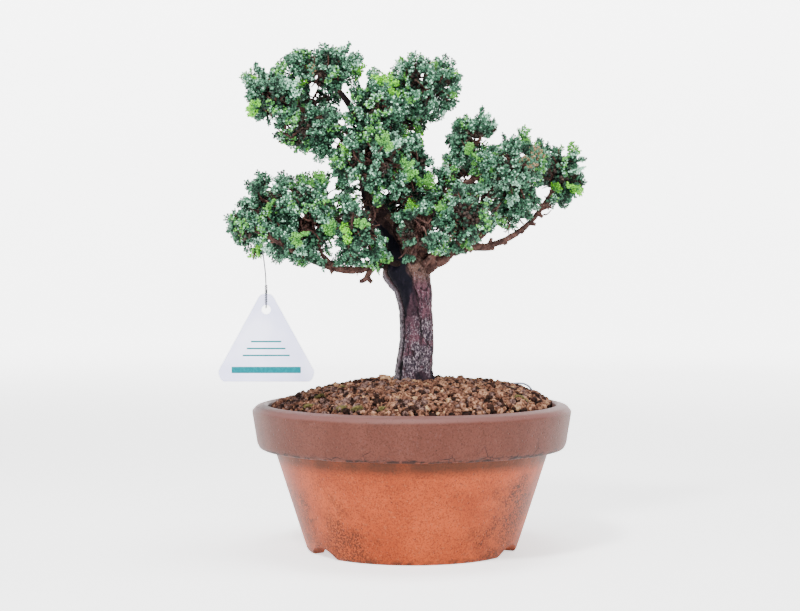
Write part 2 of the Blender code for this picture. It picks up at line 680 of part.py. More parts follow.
def build_label():
    """The hanging label: a plain triangular plate with cut corners and a hole near its top."""
    half = LABEL_WIDTH / 2
    outline = [
        (-half + LABEL_CORNER_SHIFT, 0), (half - LABEL_CORNER_SHIFT, 0), (half, LABEL_CORNER),
        (LABEL_TOP_WIDTH / 2, LABEL_HEIGHT), (-LABEL_TOP_WIDTH / 2, LABEL_HEIGHT), (-half, LABEL_CORNER),
    ]
    x, y, z = LABEL_PLACE
    bm = bmesh.new()
    front = y - LABEL_THICKNESS / 2
    face = bm.faces.new([bm.verts.new(((x + u) * MM, front * MM, (z + v) * MM)) for u, v in outline])
    grown = bmesh.ops.extrude_face_region(bm, geom=[face])["geom"]
    moved = [item for item in grown if isinstance(item, bmesh.types.BMVert)]
    bmesh.ops.translate(bm, verts=moved, vec=(0, LABEL_THICKNESS * MM, 0))
    label = object_from(bm, "label", "label")
    hole = bmesh.new()
    bmesh.ops.create_cone(hole, cap_ends=True, segments=20, radius1=LABEL_HOLE_RADIUS * MM,
                          radius2=LABEL_HOLE_RADIUS * MM, depth=10 * MM)
    middle = Vector((x, y, z + LABEL_HEIGHT - LABEL_HOLE_DROP)) * MM
    hole.transform(Matrix.Translation(middle) @ Matrix.Rotation(math.pi / 2, 4, "X"))
    cut_away(label, object_from(hole, "hole", "label"))
    return label


def main():
    """Builds the pot, the soil, the tree and its label."""
    clear_scene()
    build_pot()
    build_soil()
    trunk = Limb("trunk", "", TRUNK_PATH, TRUNK_RADII[0], TRUNK_RADII[-1])
    limbs = {limb.name: limb for limb in (trunk, *BOUGHS)}
    build_limbs(limbs)
    build_wire(limbs)
    build_label()
    thicket = Thicket(limbs, wire_points(limbs))
    for index, mass in enumerate(MASSES):
        grow_mass(mass, index, thicket, limbs)


main()
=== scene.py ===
"""Looks of a trained dwarf conifer, a bonsai, in a round terracotta pot with its hanging tag.

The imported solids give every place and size. The limbs, the masses of foliage and the gaps between them
are those that the solids were grown from, and the same rule of growth is carried on here to fine twigs,
fans of scale leaves and bark. The tables are in millimetres, and MM turns them into metres. The front of
the plant faces -Y.
"""

from __future__ import annotations

import logging
import math
import random
from dataclasses import dataclass, field
from enum import Enum
from functools import reduce
from typing import Iterable, Sequence

import bmesh
import bpy
import numpy as np
from mathutils import Matrix, Quaternion, Vector, noise

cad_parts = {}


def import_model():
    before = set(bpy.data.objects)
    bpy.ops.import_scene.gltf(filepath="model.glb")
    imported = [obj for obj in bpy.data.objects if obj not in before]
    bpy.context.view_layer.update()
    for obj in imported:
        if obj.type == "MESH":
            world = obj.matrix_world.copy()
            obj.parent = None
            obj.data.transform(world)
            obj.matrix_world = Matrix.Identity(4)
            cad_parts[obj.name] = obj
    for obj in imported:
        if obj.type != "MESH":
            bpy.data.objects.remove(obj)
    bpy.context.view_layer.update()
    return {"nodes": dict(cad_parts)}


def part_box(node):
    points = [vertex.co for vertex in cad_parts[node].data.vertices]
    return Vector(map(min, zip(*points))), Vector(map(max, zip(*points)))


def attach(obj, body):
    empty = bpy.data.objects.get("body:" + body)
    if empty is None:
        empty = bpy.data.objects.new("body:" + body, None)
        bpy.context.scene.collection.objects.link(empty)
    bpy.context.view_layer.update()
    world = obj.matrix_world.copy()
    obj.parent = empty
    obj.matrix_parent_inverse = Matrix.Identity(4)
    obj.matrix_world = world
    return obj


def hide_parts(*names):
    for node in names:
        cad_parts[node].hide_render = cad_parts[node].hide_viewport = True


LOG = logging.getLogger("bonsai")

MM = 0.001
SEED = 23
GAP = 0.3
SAME_PLACE = 1e-6
BODY = "root"
GOLDEN_ANGLE = math.pi * (3.0 - math.sqrt(5.0))
MOST_TRIANGLES = 190_000

# The eye that sees the sky through the crown's gaps, in millimetres, its tilt in degrees and its lens.
EYE = (-8.9, -1250.0, 215.0)
CAMERA_PITCH = 1.4513
CAMERA_LENS = 74.42
SENSOR_WIDTH = 36.0

Array = np.ndarray
Colour = tuple[float, float, float]
Finish = bpy.types.Material
Patches = tuple
Piece = bpy.types.Object
Shape = bmesh.types.BMesh
Socket = bpy.types.NodeSocket

EVEN = (1.0, 1.0, 1.0)

# How wide, thick and long a scale leaf is.
LEAF_SIZE = (2.1, 1.75, 2.25)


def tone(*channels: int) -> Colour:
    """The linear colour of a display colour whose red, green and blue run from 0 to 255."""
    shares = [channel / 255.0 for channel in channels]
    return tuple(share / 12.92 if share <= 0.04045 else ((share + 0.055) / 1.055) ** 2.4 for share in shares)


class Slot(Enum):
    """The material slots."""

    TERRACOTTA = "terracotta"
    SOIL = "soil"
    BARK = "bark"
    FOLIAGE = "foliage"
    LABEL = "label"
    WIRE = "wire"


@dataclass(frozen=True)
class Limb:
    """One tapering limb: its path, and its radius at the root and the tip."""

    name: str
    path: tuple
    thick: float
    thin: float


@dataclass(frozen=True)
class Mass:
    """One mass of foliage: the limb that bears it, the middle of its space and its half sizes."""

    name: str
    bearer: str
    centre: tuple
    half: tuple


@dataclass(frozen=True)
class Opening:
    """A gap in the crown on the plane y = 0 of the line of sight: no leaf in it lies before front."""

    x: float
    z: float
    half_x: float
    half_z: float
    front: float = math.inf


@dataclass(frozen=True)
class Shoot:
    """A leafy shoot that stands out of its mass, by its tip and how thick its tufts are."""

    mass: str
    tip: tuple
    girth: float = 1.0


@dataclass(frozen=True)
class Sprouting:
    """Short leafy side shoots along part of a bough."""

    bough: str
    mass: str
    start: float
    stop: float
    count: int
    way: tuple
    length: float


@dataclass(frozen=True)
class Tangle:
    """Thin bare twigs about a place."""

    place: tuple
    radius: float
    count: int


@dataclass(frozen=True)
class Stub:
    """A short dead end of wood: where it stands, where it ends, and its radius at both."""

    root: tuple
    tip: tuple
    thick: float
    thin: float


class Tint(Enum):
    """The colours that the leaves are dealt out in."""

    # The darkest green: painted shade inside and under the masses and at the plumes' roots.
    DEEP_SHADE = "deep"
    TEAL = "teal"
    # Pale frosted tips, also standing for painted highlights.
    FROST_AND_HIGHLIGHT = "frost"
    GREEN = "green"
    FRESH = "fresh"
    LIME = "lime"
    DRY = "dry"
    # Dark brown dead leaves inside the masses, darkened as painted shade.
    DEAD_AND_SHADE = "umber"

    @property
    def place(self) -> int:
        """The tint's place among the others."""
        return list(Tint).index(self)


@dataclass(frozen=True)
class Patch:
    """A place on the front of the crown, on the plane y = 0 of the line of sight, with leaves of one tint."""

    tint: Tint
    x: float
    z: float
    radius: float


TRUNK_PATH = (
    (2, 0, 126), (2, 0, 131), (2, 0, 137), (4, 0, 158), (3, 0, 180), (1, 0, 196), (-4.5, 1, 211),
    (-12, 4, 232), (-23, 8, 250), (-31, 8, 264), (-35, 6, 286), (-35, 2, 310), (-44, 0, 330),
    (-54, -3, 344),
)
TRUNK_RADII = (16, 14.4, 13.8, 12.8, 12.6, 14.2, 18.6, 10.2, 8.2, 7, 5.6, 4.4, 3.2, 2.4)

TRUNK = Limb("trunk", TRUNK_PATH, TRUNK_RADII[0], TRUNK_RADII[-1])

BOUGHS = tuple(Limb(f"bough_{name}", tuple(path), thick, thin) for name, thick, thin, *path in (
    ("left_low", 3.8, 1.6, (-4, 0, 212), (-22, -8, 214), (-46, -16, 210), (-68, -24, 215), (-86, -28, 226),
     (-96, -30, 237)),
    ("left_tip", 1.9, 1.1, (-72, -25, 216), (-88, -44, 225), (-104, -57, 234), (-114, -56, 239)),
    ("left_front", 2.2, 1.6, (-52, -18, 210), (-60, -24, 215), (-67, -26, 222)),
    ("left_inner", 2.8, 1.7, (-2, -4, 213), (-15, -19, 216), (-27, -30, 220), (-34, -35, 225)),
    ("left_back", 3.2, 1.8, (-12, 4, 232), (-28, 15, 238), (-46, 24, 244), (-58, 28, 249)),
    ("low_front", 2.6, 1.7, (-2, -2, 212), (1, -20, 218), (2, -28, 226)),
    ("low_back", 3, 1.8, (-8, 3, 225), (-7, 20, 233), (-9, 33, 242)),
    ("right_leader", 7.6, 2.2, (0, 1, 211), (9, -2, 228), (10, -3, 244), (14, 0, 261), (24, 4, 277),
     (30, 6, 290), (35, 6, 298)),
    ("right_low", 4.6, 3, (3, 0, 204), (16, -7, 214), (30, -9, 223.5), (44, -8, 227.5), (52, -6, 227.5)),
    ("right_outer", 2.9, 1.6, (46, -7.5, 227.6), (54, -5, 227.5), (71, 4, 233), (88, 18, 244),
     (100, 32, 257), (108, 43, 268)),
    ("right_front", 2.4, 1.7, (28, -8, 222), (33, -18, 228), (38, -24, 235)),
    ("right_second", 2.3, 1.5, (40, -8, 225), (55, 4, 238), (66, 14, 247), (73, 20, 255)),
    ("right_middle", 3, 1.8, (15, 1, 263), (37, -2, 274), (59, -4, 284)),
    ("right_back", 3, 1.8, (11, -1, 252), (24, 18, 260), (37, 38, 269)),
    ("centre_right", 2.8, 1.7, (-32, 8, 267), (-18, 4, 277), (-8, 0, 286)),
    ("centre_front", 2.8, 1.7, (-30, 8, 263), (-27, -6, 268), (-24, -15, 275)),
    ("upper_left", 3.2, 1.7, (-35, 6, 288), (-50, -4, 307), (-67, -12, 322), (-85, -17, 331)),
    ("upper_left_low", 2.8, 1.6, (-34, 7, 278), (-50, 0, 290), (-66, -7, 303)),
    ("upper_left_back", 2.8, 1.6, (-35, 3, 302), (-50, 18, 316), (-65, 29, 327)),
    ("top_right", 3.2, 1.8, (-35, 5, 294), (-23, 4, 318), (-9, 2, 334), (0, 0, 342)),
    ("upper_back", 2.6, 1.6, (-36, 2, 311), (-34, 16, 318), (-22, 29, 326)),
))

LIMBS = {limb.name: limb for limb in (TRUNK, *BOUGHS)}

MASSES = tuple(Mass(f"foliage_{name}", *row) for name, *row in (
    ("top_left", "trunk", (-67, -5, 359), (33, 32, 20)),
    ("upper_left", "bough_upper_left", (-102, -20, 339), (25, 30, 24)),
    ("upper_left_low", "bough_upper_left_low", (-75, -12, 316), (31, 28, 19)),
    ("upper_left_back", "bough_upper_left_back", (-80, 38, 339), (30, 28, 25)),
    ("upper_middle", "trunk", (-28, -12, 330), (27, 30, 30)),
    ("top_right", "bough_top_right", (9, 0, 349), (29, 31, 26)),
    ("upper_back", "bough_upper_back", (-9, 42, 332), (36, 28, 30)),
    ("centre_front", "bough_centre_front", (-28, -30, 288), (34, 30, 34)),
    ("centre_right", "bough_centre_right", (-1, -5, 285), (20, 28, 32)),
    ("right_upper", "bough_right_leader", (44, 5, 307), (21, 26, 23)),
    ("right_middle", "bough_right_middle", (76, -5, 287), (29, 32, 27)),
    ("right_far", "bough_right_outer", (115, 55, 286), (25, 30, 27)),
    ("right_low", "bough_right_front", (40, -26, 249), (28, 32, 28)),
    ("right_under", "bough_right_second", (78, 25, 264), (23, 26, 20)),
    ("right_back", "bough_right_back", (54, 54, 276), (35, 30, 35)),
    ("left_far", "bough_left_low", (-104, -30, 252), (27, 32, 33)),
    ("left_tip", "bough_left_tip", (-124, -54, 241), (13, 17, 11)),
    ("left_front", "bough_left_front", (-74, -27, 246), (28, 36, 34)),
    ("left_inner", "bough_left_inner", (-41, -38, 241), (26, 30, 31)),
    ("left_back", "bough_left_back", (-77, 32, 258), (39, 34, 28)),
    ("low_back", "bough_low_back", (-7, 50, 254), (41, 32, 36)),
    ("low_front", "bough_low_front", (5, -36, 238), (25, 26, 26)),
))

# Gaps that show the sky.
OPENINGS = tuple(Opening(*row) for row in (
    (-74, 344, 3.6, 9), (-72, 356, 2.2, 3.6), (-51, 347, 2.2, 4.6), (-36, 353, 3, 7.6), (9, 381, 14, 5.6),
    (37, 370, 5, 6), (-53, 321, 3.2, 2.8), (-58, 304, 2.5, 2.5), (-93, 318, 2.2, 2.2), (8, 356, 2.6, 3.4),
    (-23, 338, 2.3, 1.6), (-61, 270, 3.6, 7.2), (-57, 260, 2.2, 2.2), (-83, 251, 2.2, 2.6),
    (-72, 243, 2.8, 2.2), (-66, 220, 3, 2.3), (-20, 269, 4.8, 2.3), (-13, 244, 2.5, 2), (13, 246, 2.4, 3.4),
    (18, 241, 2.6, 2.4), (25, 270, 2.2, 2.6), (44, 278, 8.4, 3.8), (52, 308, 6.6, 3), (64, 309, 5, 5),
    (100, 269, 7.2, 5.2), (84, 247, 3.4, 3), (66, 235, 16, 4.6), (115, 298, 2.6, 3.2), (51, 264, 1.8, 2.8),
    (17, 309, 9, 14), (-37, 206.5, 13, 4.6), (40, 218, 13, 5), (-58, 204.5, 12, 5), (-75, 209, 8, 6),
))

# Places where the crown is drawn in.
HOLLOWS = tuple(Opening(*row) for row in (
    (-41, 272, 5, 7, 2), (-35, 262, 6, 9, 2), (-28, 250, 5.5, 9, 0), (-12, 229, 6, 9, -8),
    (-20, 240, 4, 6, -2), (7, 243, 6, 10, -10), (-33, 297, 3.5, 7, -8), (16, 252, 3, 6, -12),
    (-80, 246, 6, 8, -30), (-91, 308, 9, 6, -14), (-7, 262, 3.5, 8, -12), (-50, 340, 4.5, 8, -2),
    (3, 265, 5, 5, -12), (4, 225, 9, 5, -10), (-62, 232, 4, 5, -30), (62, 255, 5, 6, -10),
    (-55, 250, 4, 6, -26), (84, 268, 4, 5, 4), (-17, 209, 7, 7, 10), (15, 216, 14, 6, 6),
    (27, 282, 7, 5, -8), (-48, 210, 20, 3.4, 10), (56, 228, 12, 3.4, 10),
))

SHOOTS = tuple(Shoot(f"foliage_{mass}", shoot[:3], *shoot[3:]) for mass, *shoots in (
    ("left_tip", (-136, -54, 250), (-130, -50, 251)),
    ("left_far", (-125, -44, 225, 1.1)),
    ("upper_left", (-127, -20, 357), (-118, -20, 363, 1.1), (-126, -20, 346), (-126, -20, 335),
     (-123, -22, 325, 1.1)),
    ("left_far", (-127, -30, 257)),
    ("left_front", (-102, -30, 213), (-92, -28, 213)),
    ("left_far", (-131, -36, 229), (-117, -40, 216)),
    ("upper_left_low", (-103, -15, 304), (-70, -14, 294, 1.2), (-80, -14, 297, 1.1)),
    ("centre_front", (-63, -22, 292, 1.3), (-46, -4, 277, 1.3), (-40, 0, 268, 1.2), (-60, -24, 284, 1.3),
     (-64, -18, 299, 1.2), (-56, -28, 276, 1.2)),
    ("top_left", (-95, -5, 373, 1.2), (-87, -6, 374, 1.2), (-75, -5, 372), (-55, -5, 368),
     (-37, -5, 361, 1.2)),
    ("upper_middle", (-27, -4, 361)),
    ("top_right", (-13, 0, 368), (20, 0, 368), (38, 0, 336)),
    ("right_upper", (55, 5, 331, 1.1), (68, 5, 320), (62, 5, 325, 1.1), (60, 5, 309)),
    ("right_middle", (87, 0, 317), (103, 12, 309)),
    ("right_far", (115, 42, 307), (132, 50, 273, 1.1), (124, 44, 263, 1.2)),
    ("right_middle", (80, -2, 246, 1.1), (89, 0, 251)),
    ("low_front", (-12, -38, 216), (-3, -38, 215)),
) for shoot in shoots)

SPROUTS = tuple(Sprouting(f"bough_{bough}", f"foliage_{mass}", *row) for bough, mass, *row in (
    ("left_low", "left_front", 0.42, 0.92, 9, (-0.1, -0.7, 0.1), 7),
    ("left_low", "left_inner", 0.1, 0.42, 12, (-0.1, -0.5, 0.9), 11),
    ("right_leader", "right_low", 0.1, 0.52, 16, (0.2, -0.9, 0.1), 11),
    ("right_leader", "right_upper", 0.45, 0.95, 18, (-0.3, -0.7, 0.2), 9),
    ("right_low", "right_low", 0.35, 1, 8, (0.1, -0.5, 0.8), 9),
    ("left_low", "left_far", 0.7, 0.98, 6, (-0.2, -0.8, 0.1), 9),
    ("left_low", "left_back", 0.4, 0.9, 6, (0, 0.8, -0.1), 10),
    ("left_tip", "left_far", 0.1, 0.95, 8, (-0.1, -0.5, -0.3), 6),
    ("left_tip", "left_far", 0.2, 0.9, 6, (-0.1, -0.2, 0.8), 8),
    ("left_front", "left_front", 0.3, 1, 4, (0.2, -0.6, -0.5), 8),
    ("left_inner", "left_inner", 0.5, 1, 4, (0.1, -0.5, -0.6), 8),
    ("low_front", "low_front", 0.6, 1, 3, (0.2, -0.6, -0.5), 7),
    ("right_second", "right_under", 0.25, 1, 9, (0.1, -0.6, 0), 8),
    ("right_front", "right_low", 0.3, 1, 4, (0.2, -0.7, -0.3), 8),
    ("right_middle", "right_middle", 0.3, 1, 7, (0, -0.7, 0.2), 9),
    ("right_outer", "right_far", 0.82, 1, 5, (0.1, -0.6, 0.2), 8),
    ("upper_left", "upper_left_low", 0.5, 1, 7, (0, -0.5, -0.4), 8),
    ("upper_left_low", "upper_left_low", 0.4, 1, 4, (0, -0.6, -0.2), 8),
    ("top_right", "top_right", 0.6, 1, 4, (0.3, -0.6, 0), 8),
    ("centre_right", "centre_right", 0.3, 1, 4, (0.2, -0.6, -0.2), 8),
))

TANGLES = tuple(Tangle(*row) for row in (
    ((-30, -2, 255), 10, 12), ((8, -8, 235), 11, 22), ((20, -10, 245), 9, 12), ((-80, -26, 240), 9, 16),
    ((-90, -14, 312), 9, 16), ((-38, 0, 318), 8, 12), ((-34, -4, 296), 8, 10), ((36, -10, 228), 7, 10),
    ((58, 0, 262), 10, 14), ((100, 30, 256), 6, 6), ((-45, -16, 214), 6, 6), ((-6, -10, 262), 7, 8),
    ((75, 14, 246), 8, 10), ((-24, -6, 223), 8, 16), ((18, -8, 262), 9, 14), ((28, 2, 284), 7, 14),
    ((22, -12, 226), 8, 12), ((-56, -10, 300), 8, 10), ((30, 6, 292), 8, 8),
))

STUBS = tuple(Stub(*row) for row in (
    ((3, -6, 237), (8, -12, 253), 5.6, 3.6), ((8, -9, 244), (14, -13, 252), 3.4, 1.8),
    ((-29, -11, 212), (-34, -14, 204), 2.4, 2), ((-33, -14, 205), (-30, -15, 201), 1.9, 1.5),
    ((-34, -14, 204), (-39, -14, 202), 1.9, 1.5), ((20, -9, 216), (27, -14, 219), 4, 2.6),
    ((16, -8, 213), (13, -13, 222), 3.8, 2.4), ((8, -12, 214), (20, -15, 224), 3, 2),
    ((41, -8, 227), (45, -11, 224), 2.2, 1.5), ((52, -5, 227), (62, -1, 227), 2.6, 1.9),
    ((70, 4, 232.5), (71, 3, 230), 2.2, 1.9), ((90, 20, 246.5), (95, 19, 245), 2, 1.3),
    ((98, 29, 255), (101, 27, 251), 2, 1.3), ((93, 24, 249), (89, 23, 257), 1.7, 1.1),
    ((101, 32, 257.5), (97, 31, 265), 1.7, 1.1), ((101, 32, 257.5), (108, 31, 259), 1.8, 1),
    ((104, 36, 262), (109, 35, 264), 1.6, 1), ((83, 13, 240.5), (85, 12, 238.5), 2.1, 1.7),
    ((58, -2, 229), (60, -4, 234), 1.6, 1.2), ((-58, -20, 212), (-60, -24, 209), 1.5, 1.2),
))

PATCHES = tuple(Patch(tint, *spot) for tint, *spots in (
    (Tint.LIME, (-94, 374, 5.7), (-88, 354, 4.4), (-119, 353, 3.2), (-41, 358, 5.1), (-21, 349, 7.6)),
    (Tint.FRESH, (-5, 362, 6.3)),
    (Tint.LIME, (31, 356, 5.1), (-52, 305, 3.2), (-26, 301, 3.8), (-8, 309, 3.2), (4, 308, 3.8)),
    (Tint.FRESH, (-16, 311, 5.7)),
    (Tint.LIME, (-117, 280, 5.1), (-89, 262, 3.2), (-48, 237, 6.3), (-13, 240, 5.7), (-6, 261, 3.8)),
    (Tint.FRESH, (13, 275, 5.7)),
    (Tint.LIME, (86, 293, 3.8), (114, 287, 5.1), (125, 272, 3.8), (-122, 225, 5.1)),
    (Tint.FRESH, (64, 320, 5.1), (53, 304, 5.1)),
    (Tint.LIME, (-122, 332, 3.2), (-96, 318, 3.8)),
    (Tint.FRESH, (27, 248, 3.8)),
    (Tint.DRY, (-60, 338, 4.8), (-20, 343, 4), (5, 343, 5.6), (66, 287, 4.8), (92, 295, 7.2), (58, 264, 4),
     (30, 245, 7.2), (-57, 318, 4.8), (-116, 340, 4)),
) for spot in spots)


class FinishTree:
    """A Principled material's node tree, with a short call for each node that the finishes use."""

    def __init__(self, name: str, roughness: float, metallic: float = 0.0, specular: float = 0.5) -> None:
        """Makes the material with its plain values set on the shader itself.

        Args:
            name: The material's name.
            roughness: How dull it is.
            metallic: How metallic it is.
            specular: How strongly it shines.
        """
        self.material = bpy.data.materials.new(name)
        self.material.use_nodes = True
        self.tree = self.material.node_tree
        self.shader = self.tree.nodes["Principled BSDF"]
        self.shader.inputs["Roughness"].default_value = roughness
        self.shader.inputs["Metallic"].default_value = metallic
        self.shader.inputs["Specular IOR Level"].default_value = specular

    def node(self, kind: str, inputs: dict | None = None, **settings: object) -> bpy.types.Node:
        """Adds a node, sets its properties and plugs its inputs.

        Args:
            kind: The node's type.
            inputs: What goes into each of its inputs, by name or place.
            **settings: Its properties.

        Returns:
            The node.
        """
        made = self.tree.nodes.new(kind)
        for name, value in settings.items():
            setattr(made, name, value)
        for name, source in (inputs or {}).items():
            self.plug(source, made.inputs[name])
        return made

    def plug(self, source: object, target: Socket) -> None:
        """Links a socket to an input, or sets the input's own value where source is a plain one.

        Args:
            source: The socket, number, vector or colour.
            target: The input.
        """
        if isinstance(source, bpy.types.NodeSocket):
            self.tree.links.new(source, target)
        elif isinstance(source, tuple) and len(source) == 3 and target.type == "RGBA":
            target.default_value = (*source, 1.0)
        else:
            target.default_value = source

    def place(self, stretch: tuple = EVEN) -> Socket:
        """Object coordinates, stretched by a Mapping node."""
        coordinates = self.node("ShaderNodeTexCoord").outputs["Object"]
        return self.node("ShaderNodeMapping", {"Scale": stretch, "Vector": coordinates}).outputs["Vector"]

    def height(self) -> Socket:
        """The height of a surface point, in metres."""
        return self.node("ShaderNodeSeparateXYZ", {"Vector": self.place()}).outputs["Z"]

    def noise(self, scale: float, detail: float = 3.0, stretch: tuple = EVEN,
              roughness: float = 0.55) -> Socket:
        """Noise on Object coordinates, with features about 1 / scale metres across."""
        inputs = {"Vector": self.place(stretch), "Scale": scale, "Detail": detail, "Roughness": roughness}
        return self.node("ShaderNodeTexNoise", inputs).outputs["Fac"]

    def cells(self, scale: float, feature: str = "F1") -> Socket:
        """The distance within Voronoi cells about 1 / scale metres across."""
        inputs = {"Vector": self.place(), "Scale": scale}
        return self.node("ShaderNodeTexVoronoi", inputs, feature=feature).outputs["Distance"]

    def attribute(self, name: str) -> Socket:
        """A value that the mesh carries at each point."""
        return self.node("ShaderNodeAttribute", attribute_name=name).outputs["Fac"]

    def math(self, operation: str, first: object, second: object = 0.0) -> Socket:
        """One sum on two values or sockets."""
        return self.node("ShaderNodeMath", {0: first, 1: second}, operation=operation).outputs[0]

    def product(self, *factors: object) -> Socket:
        """The product of two or more values or sockets."""
        return reduce(lambda first, second: self.math("MULTIPLY", first, second), factors)

    def mask(self, value: object, low: float, high: float) -> Socket:
        """A soft step from 0 at low to 1 at high, whichever of them is the greater.

        Args:
            value: What is stepped.
            low: Where the step is 0.
            high: Where the step is 1.

        Returns:
            The step.
        """
        inputs = dict(zip(("Value", "From Min", "From Max", "To Min", "To Max"),
                          (value, min(low, high), max(low, high), float(low > high), float(low <= high))))
        return self.node("ShaderNodeMapRange", inputs, interpolation_type="SMOOTHSTEP").outputs["Result"]

    def patchy(self, patches: Patches) -> Socket:
        """Soft patches of noise, by its scale, its detail, where they start and are full, and any stretch."""
        scale, detail, low, high, *stretch = patches
        return self.mask(self.noise(scale, detail, *stretch), low, high)

    def spot(self, centre: tuple, radius: float) -> Socket:
        """A soft, ragged spot.

        Args:
            centre: Its middle, in millimetres.
            radius: How far it reaches, in millimetres.

        Returns:
            The spot's share at each place.
        """
        middle = tuple(value * MM for value in centre)
        away = self.node("ShaderNodeVectorMath", {0: self.place(), 1: middle}, operation="DISTANCE")
        ragged = self.product(self.math("SUBTRACT", self.noise(75.0, 4.0), 0.5), 2.4 * radius * MM)
        return self.mask(self.math("ADD", away.outputs["Value"], ragged), radius * MM, 0.3 * radius * MM)

    def mix(self, under: object, over: object, *shares: object) -> Socket:
        """A colour laid over another, as much as the product of the shares says."""
        inputs = {0: self.product(*shares), 6: under, 7: over}
        return self.node("ShaderNodeMix", inputs, data_type="RGBA").outputs[2]

    def colour(self, source: object) -> None:
        """Sets the base colour."""
        self.plug(source, self.shader.inputs["Base Color"])

    def bump(self, height: Socket, distance: float, strength: float = 0.6) -> None:
        """Adds a bump to any bump already there.

        Args:
            height: What is raised.
            distance: How far, in millimetres.
            strength: How strongly.
        """
        inputs = {"Strength": strength, "Distance": distance * MM, "Height": height}
        made = self.node("ShaderNodeBump", inputs)
        normal = self.shader.inputs["Normal"]
        if normal.is_linked:
            self.plug(normal.links[0].from_socket, made.inputs["Normal"])
        self.plug(made.outputs["Normal"], normal)


@dataclass(frozen=True)
class FiredClay:
    """Fired clay: a brown, smoke-stained rim over an orange body with pits and damp stains, with painted
    shade under the rim, along the foot and at the rim's lower edge.

    Attributes:
        mottles: Damp stains of the body, as their middle and reach in millimetres.
        pits: How densely two sizes of pit lie, and how wide they are.
    """

    rim: Colour = tone(74, 37, 28)
    rim_light: Colour = tone(80, 42, 33)
    lip: Colour = tone(94, 62, 58)
    body: Colour = tone(126, 49, 17)
    body_light: Colour = tone(142, 60, 25)
    stain: Colour = tone(40, 19, 8)
    # Damp stains, and painted shade under the rim and along the foot.
    damp_and_shade: Colour = tone(38, 22, 10)
    dust: Colour = tone(150, 92, 62)
    # Dark of the cracks, also used for painted shade at the rim's lower edge.
    crack: Colour = tone(12, 6, 6)
    mottles: tuple = (((-50, -64, 10), 38), ((70, -52, 20), 44), ((84, -44, 44), 34),
                      ((-10, 84, 24), 46), ((-84, -30, 30), 34))
    pits: tuple = ((230, 0.14, 0.07), (430, 0.16, 0.08))

    def material(self) -> Finish:
        """Builds the fired clay.

        Returns:
            The material.
        """
        tree = FinishTree("fired_clay", 0.5, specular=0.14)
        grain = tree.noise(820, 3, roughness=0.8)
        dusty = tree.mask(tree.noise(480, 4), 0.56, 0.68)
        level, chip = tree.height(), tree.attribute("chip")
        height = tree.math("ADD", level, tree.product(tree.noise(90, 4), 0.0016))
        body = tree.mix(self.body, self.body_light, tree.patchy((28, 4, 0.35, 0.68)))
        body = tree.mix(body, self.stain, tree.mask(grain, 0.47, 0.62), 0.58)
        body = tree.mix(body, self.dust, dusty, 0.16)
        # Painted shade: a dark band on the body under the rim's overhang.
        body = tree.mix(body, self.damp_and_shade, tree.mask(height, 0.064, 0.073), tree.mask(height, 0.0786, 0.0772),
                        tree.patchy((26, 4, 0.05, 0.6, (1, 1, 0.4))), 0.82)
        for centre, radius in self.mottles:
            body = tree.mix(body, self.damp_and_shade, tree.spot(centre, radius),
                            tree.patchy((760, 4, 0.42, 0.58)), 0.8)
        # Painted shade: a dark band along the foot, broken by noise.
        body = tree.mix(body, self.damp_and_shade, tree.mask(height, 0.0062, 0.0026),
                        tree.patchy((150, 4, 0.42, 0.6)), 0.7)
        rim = tree.mix(self.rim, self.rim_light, tree.patchy((60, 5, 0.38, 0.66, (1, 1, 0.25))))
        rim = tree.mix(rim, self.stain, tree.mask(grain, 0.49, 0.6), 0.6)
        rim = tree.mix(rim, self.lip, dusty, 0.2)
        rim = tree.mix(rim, self.lip, tree.mask(height, 0.105, 0.1072), 0.8)
        rim = tree.mix(rim, self.stain, tree.mask(chip, 0.15, 0.45), 0.45)
        whole = tree.mix(body, rim, tree.mask(height, 0.0775, 0.0785), tree.mask(chip, 1.4, 1))
        # Painted shade at the rim's lower edge: a ragged dark line and a dark band at its lower corner.
        ragged = tree.math("ADD", level, tree.product(tree.noise(170, 6), 0.008))
        edge = tree.math("ABSOLUTE", tree.math("SUBTRACT", ragged, 0.0832))
        whole = tree.mix(whole, self.crack, tree.mask(edge, 0.0006, 0.0002),
                         tree.patchy((48, 3, 0.46, 0.54)), 0.9)
        whole = tree.mix(whole, self.crack, tree.mask(level, 0.0796, 0.0782),
                         tree.mask(level, 0.0768, 0.0772), tree.patchy((210, 5, 0.46, 0.54)), 0.8)
        for density, wide, thin in self.pits:
            whole = tree.mix(whole, self.stain, tree.mask(tree.cells(density), wide, thin),
                             tree.patchy((70, 2, 0.44, 0.56)), 0.85)
        cracks = tree.product(tree.attribute("crack"),
                              tree.mask(tree.cells(120, "DISTANCE_TO_EDGE"), 0.034, 0.01))
        tree.colour(tree.mix(whole, self.crack, cracks))
        tree.bump(tree.noise(1500, 4), 0.16, 0.7)
        tree.bump(tree.mask(tree.cells(self.pits[0][0]), 0.05, 0.2), 0.4, 0.7)
        tree.bump(tree.mask(cracks, 1, 0), 0.8, 0.9)
        return tree.material


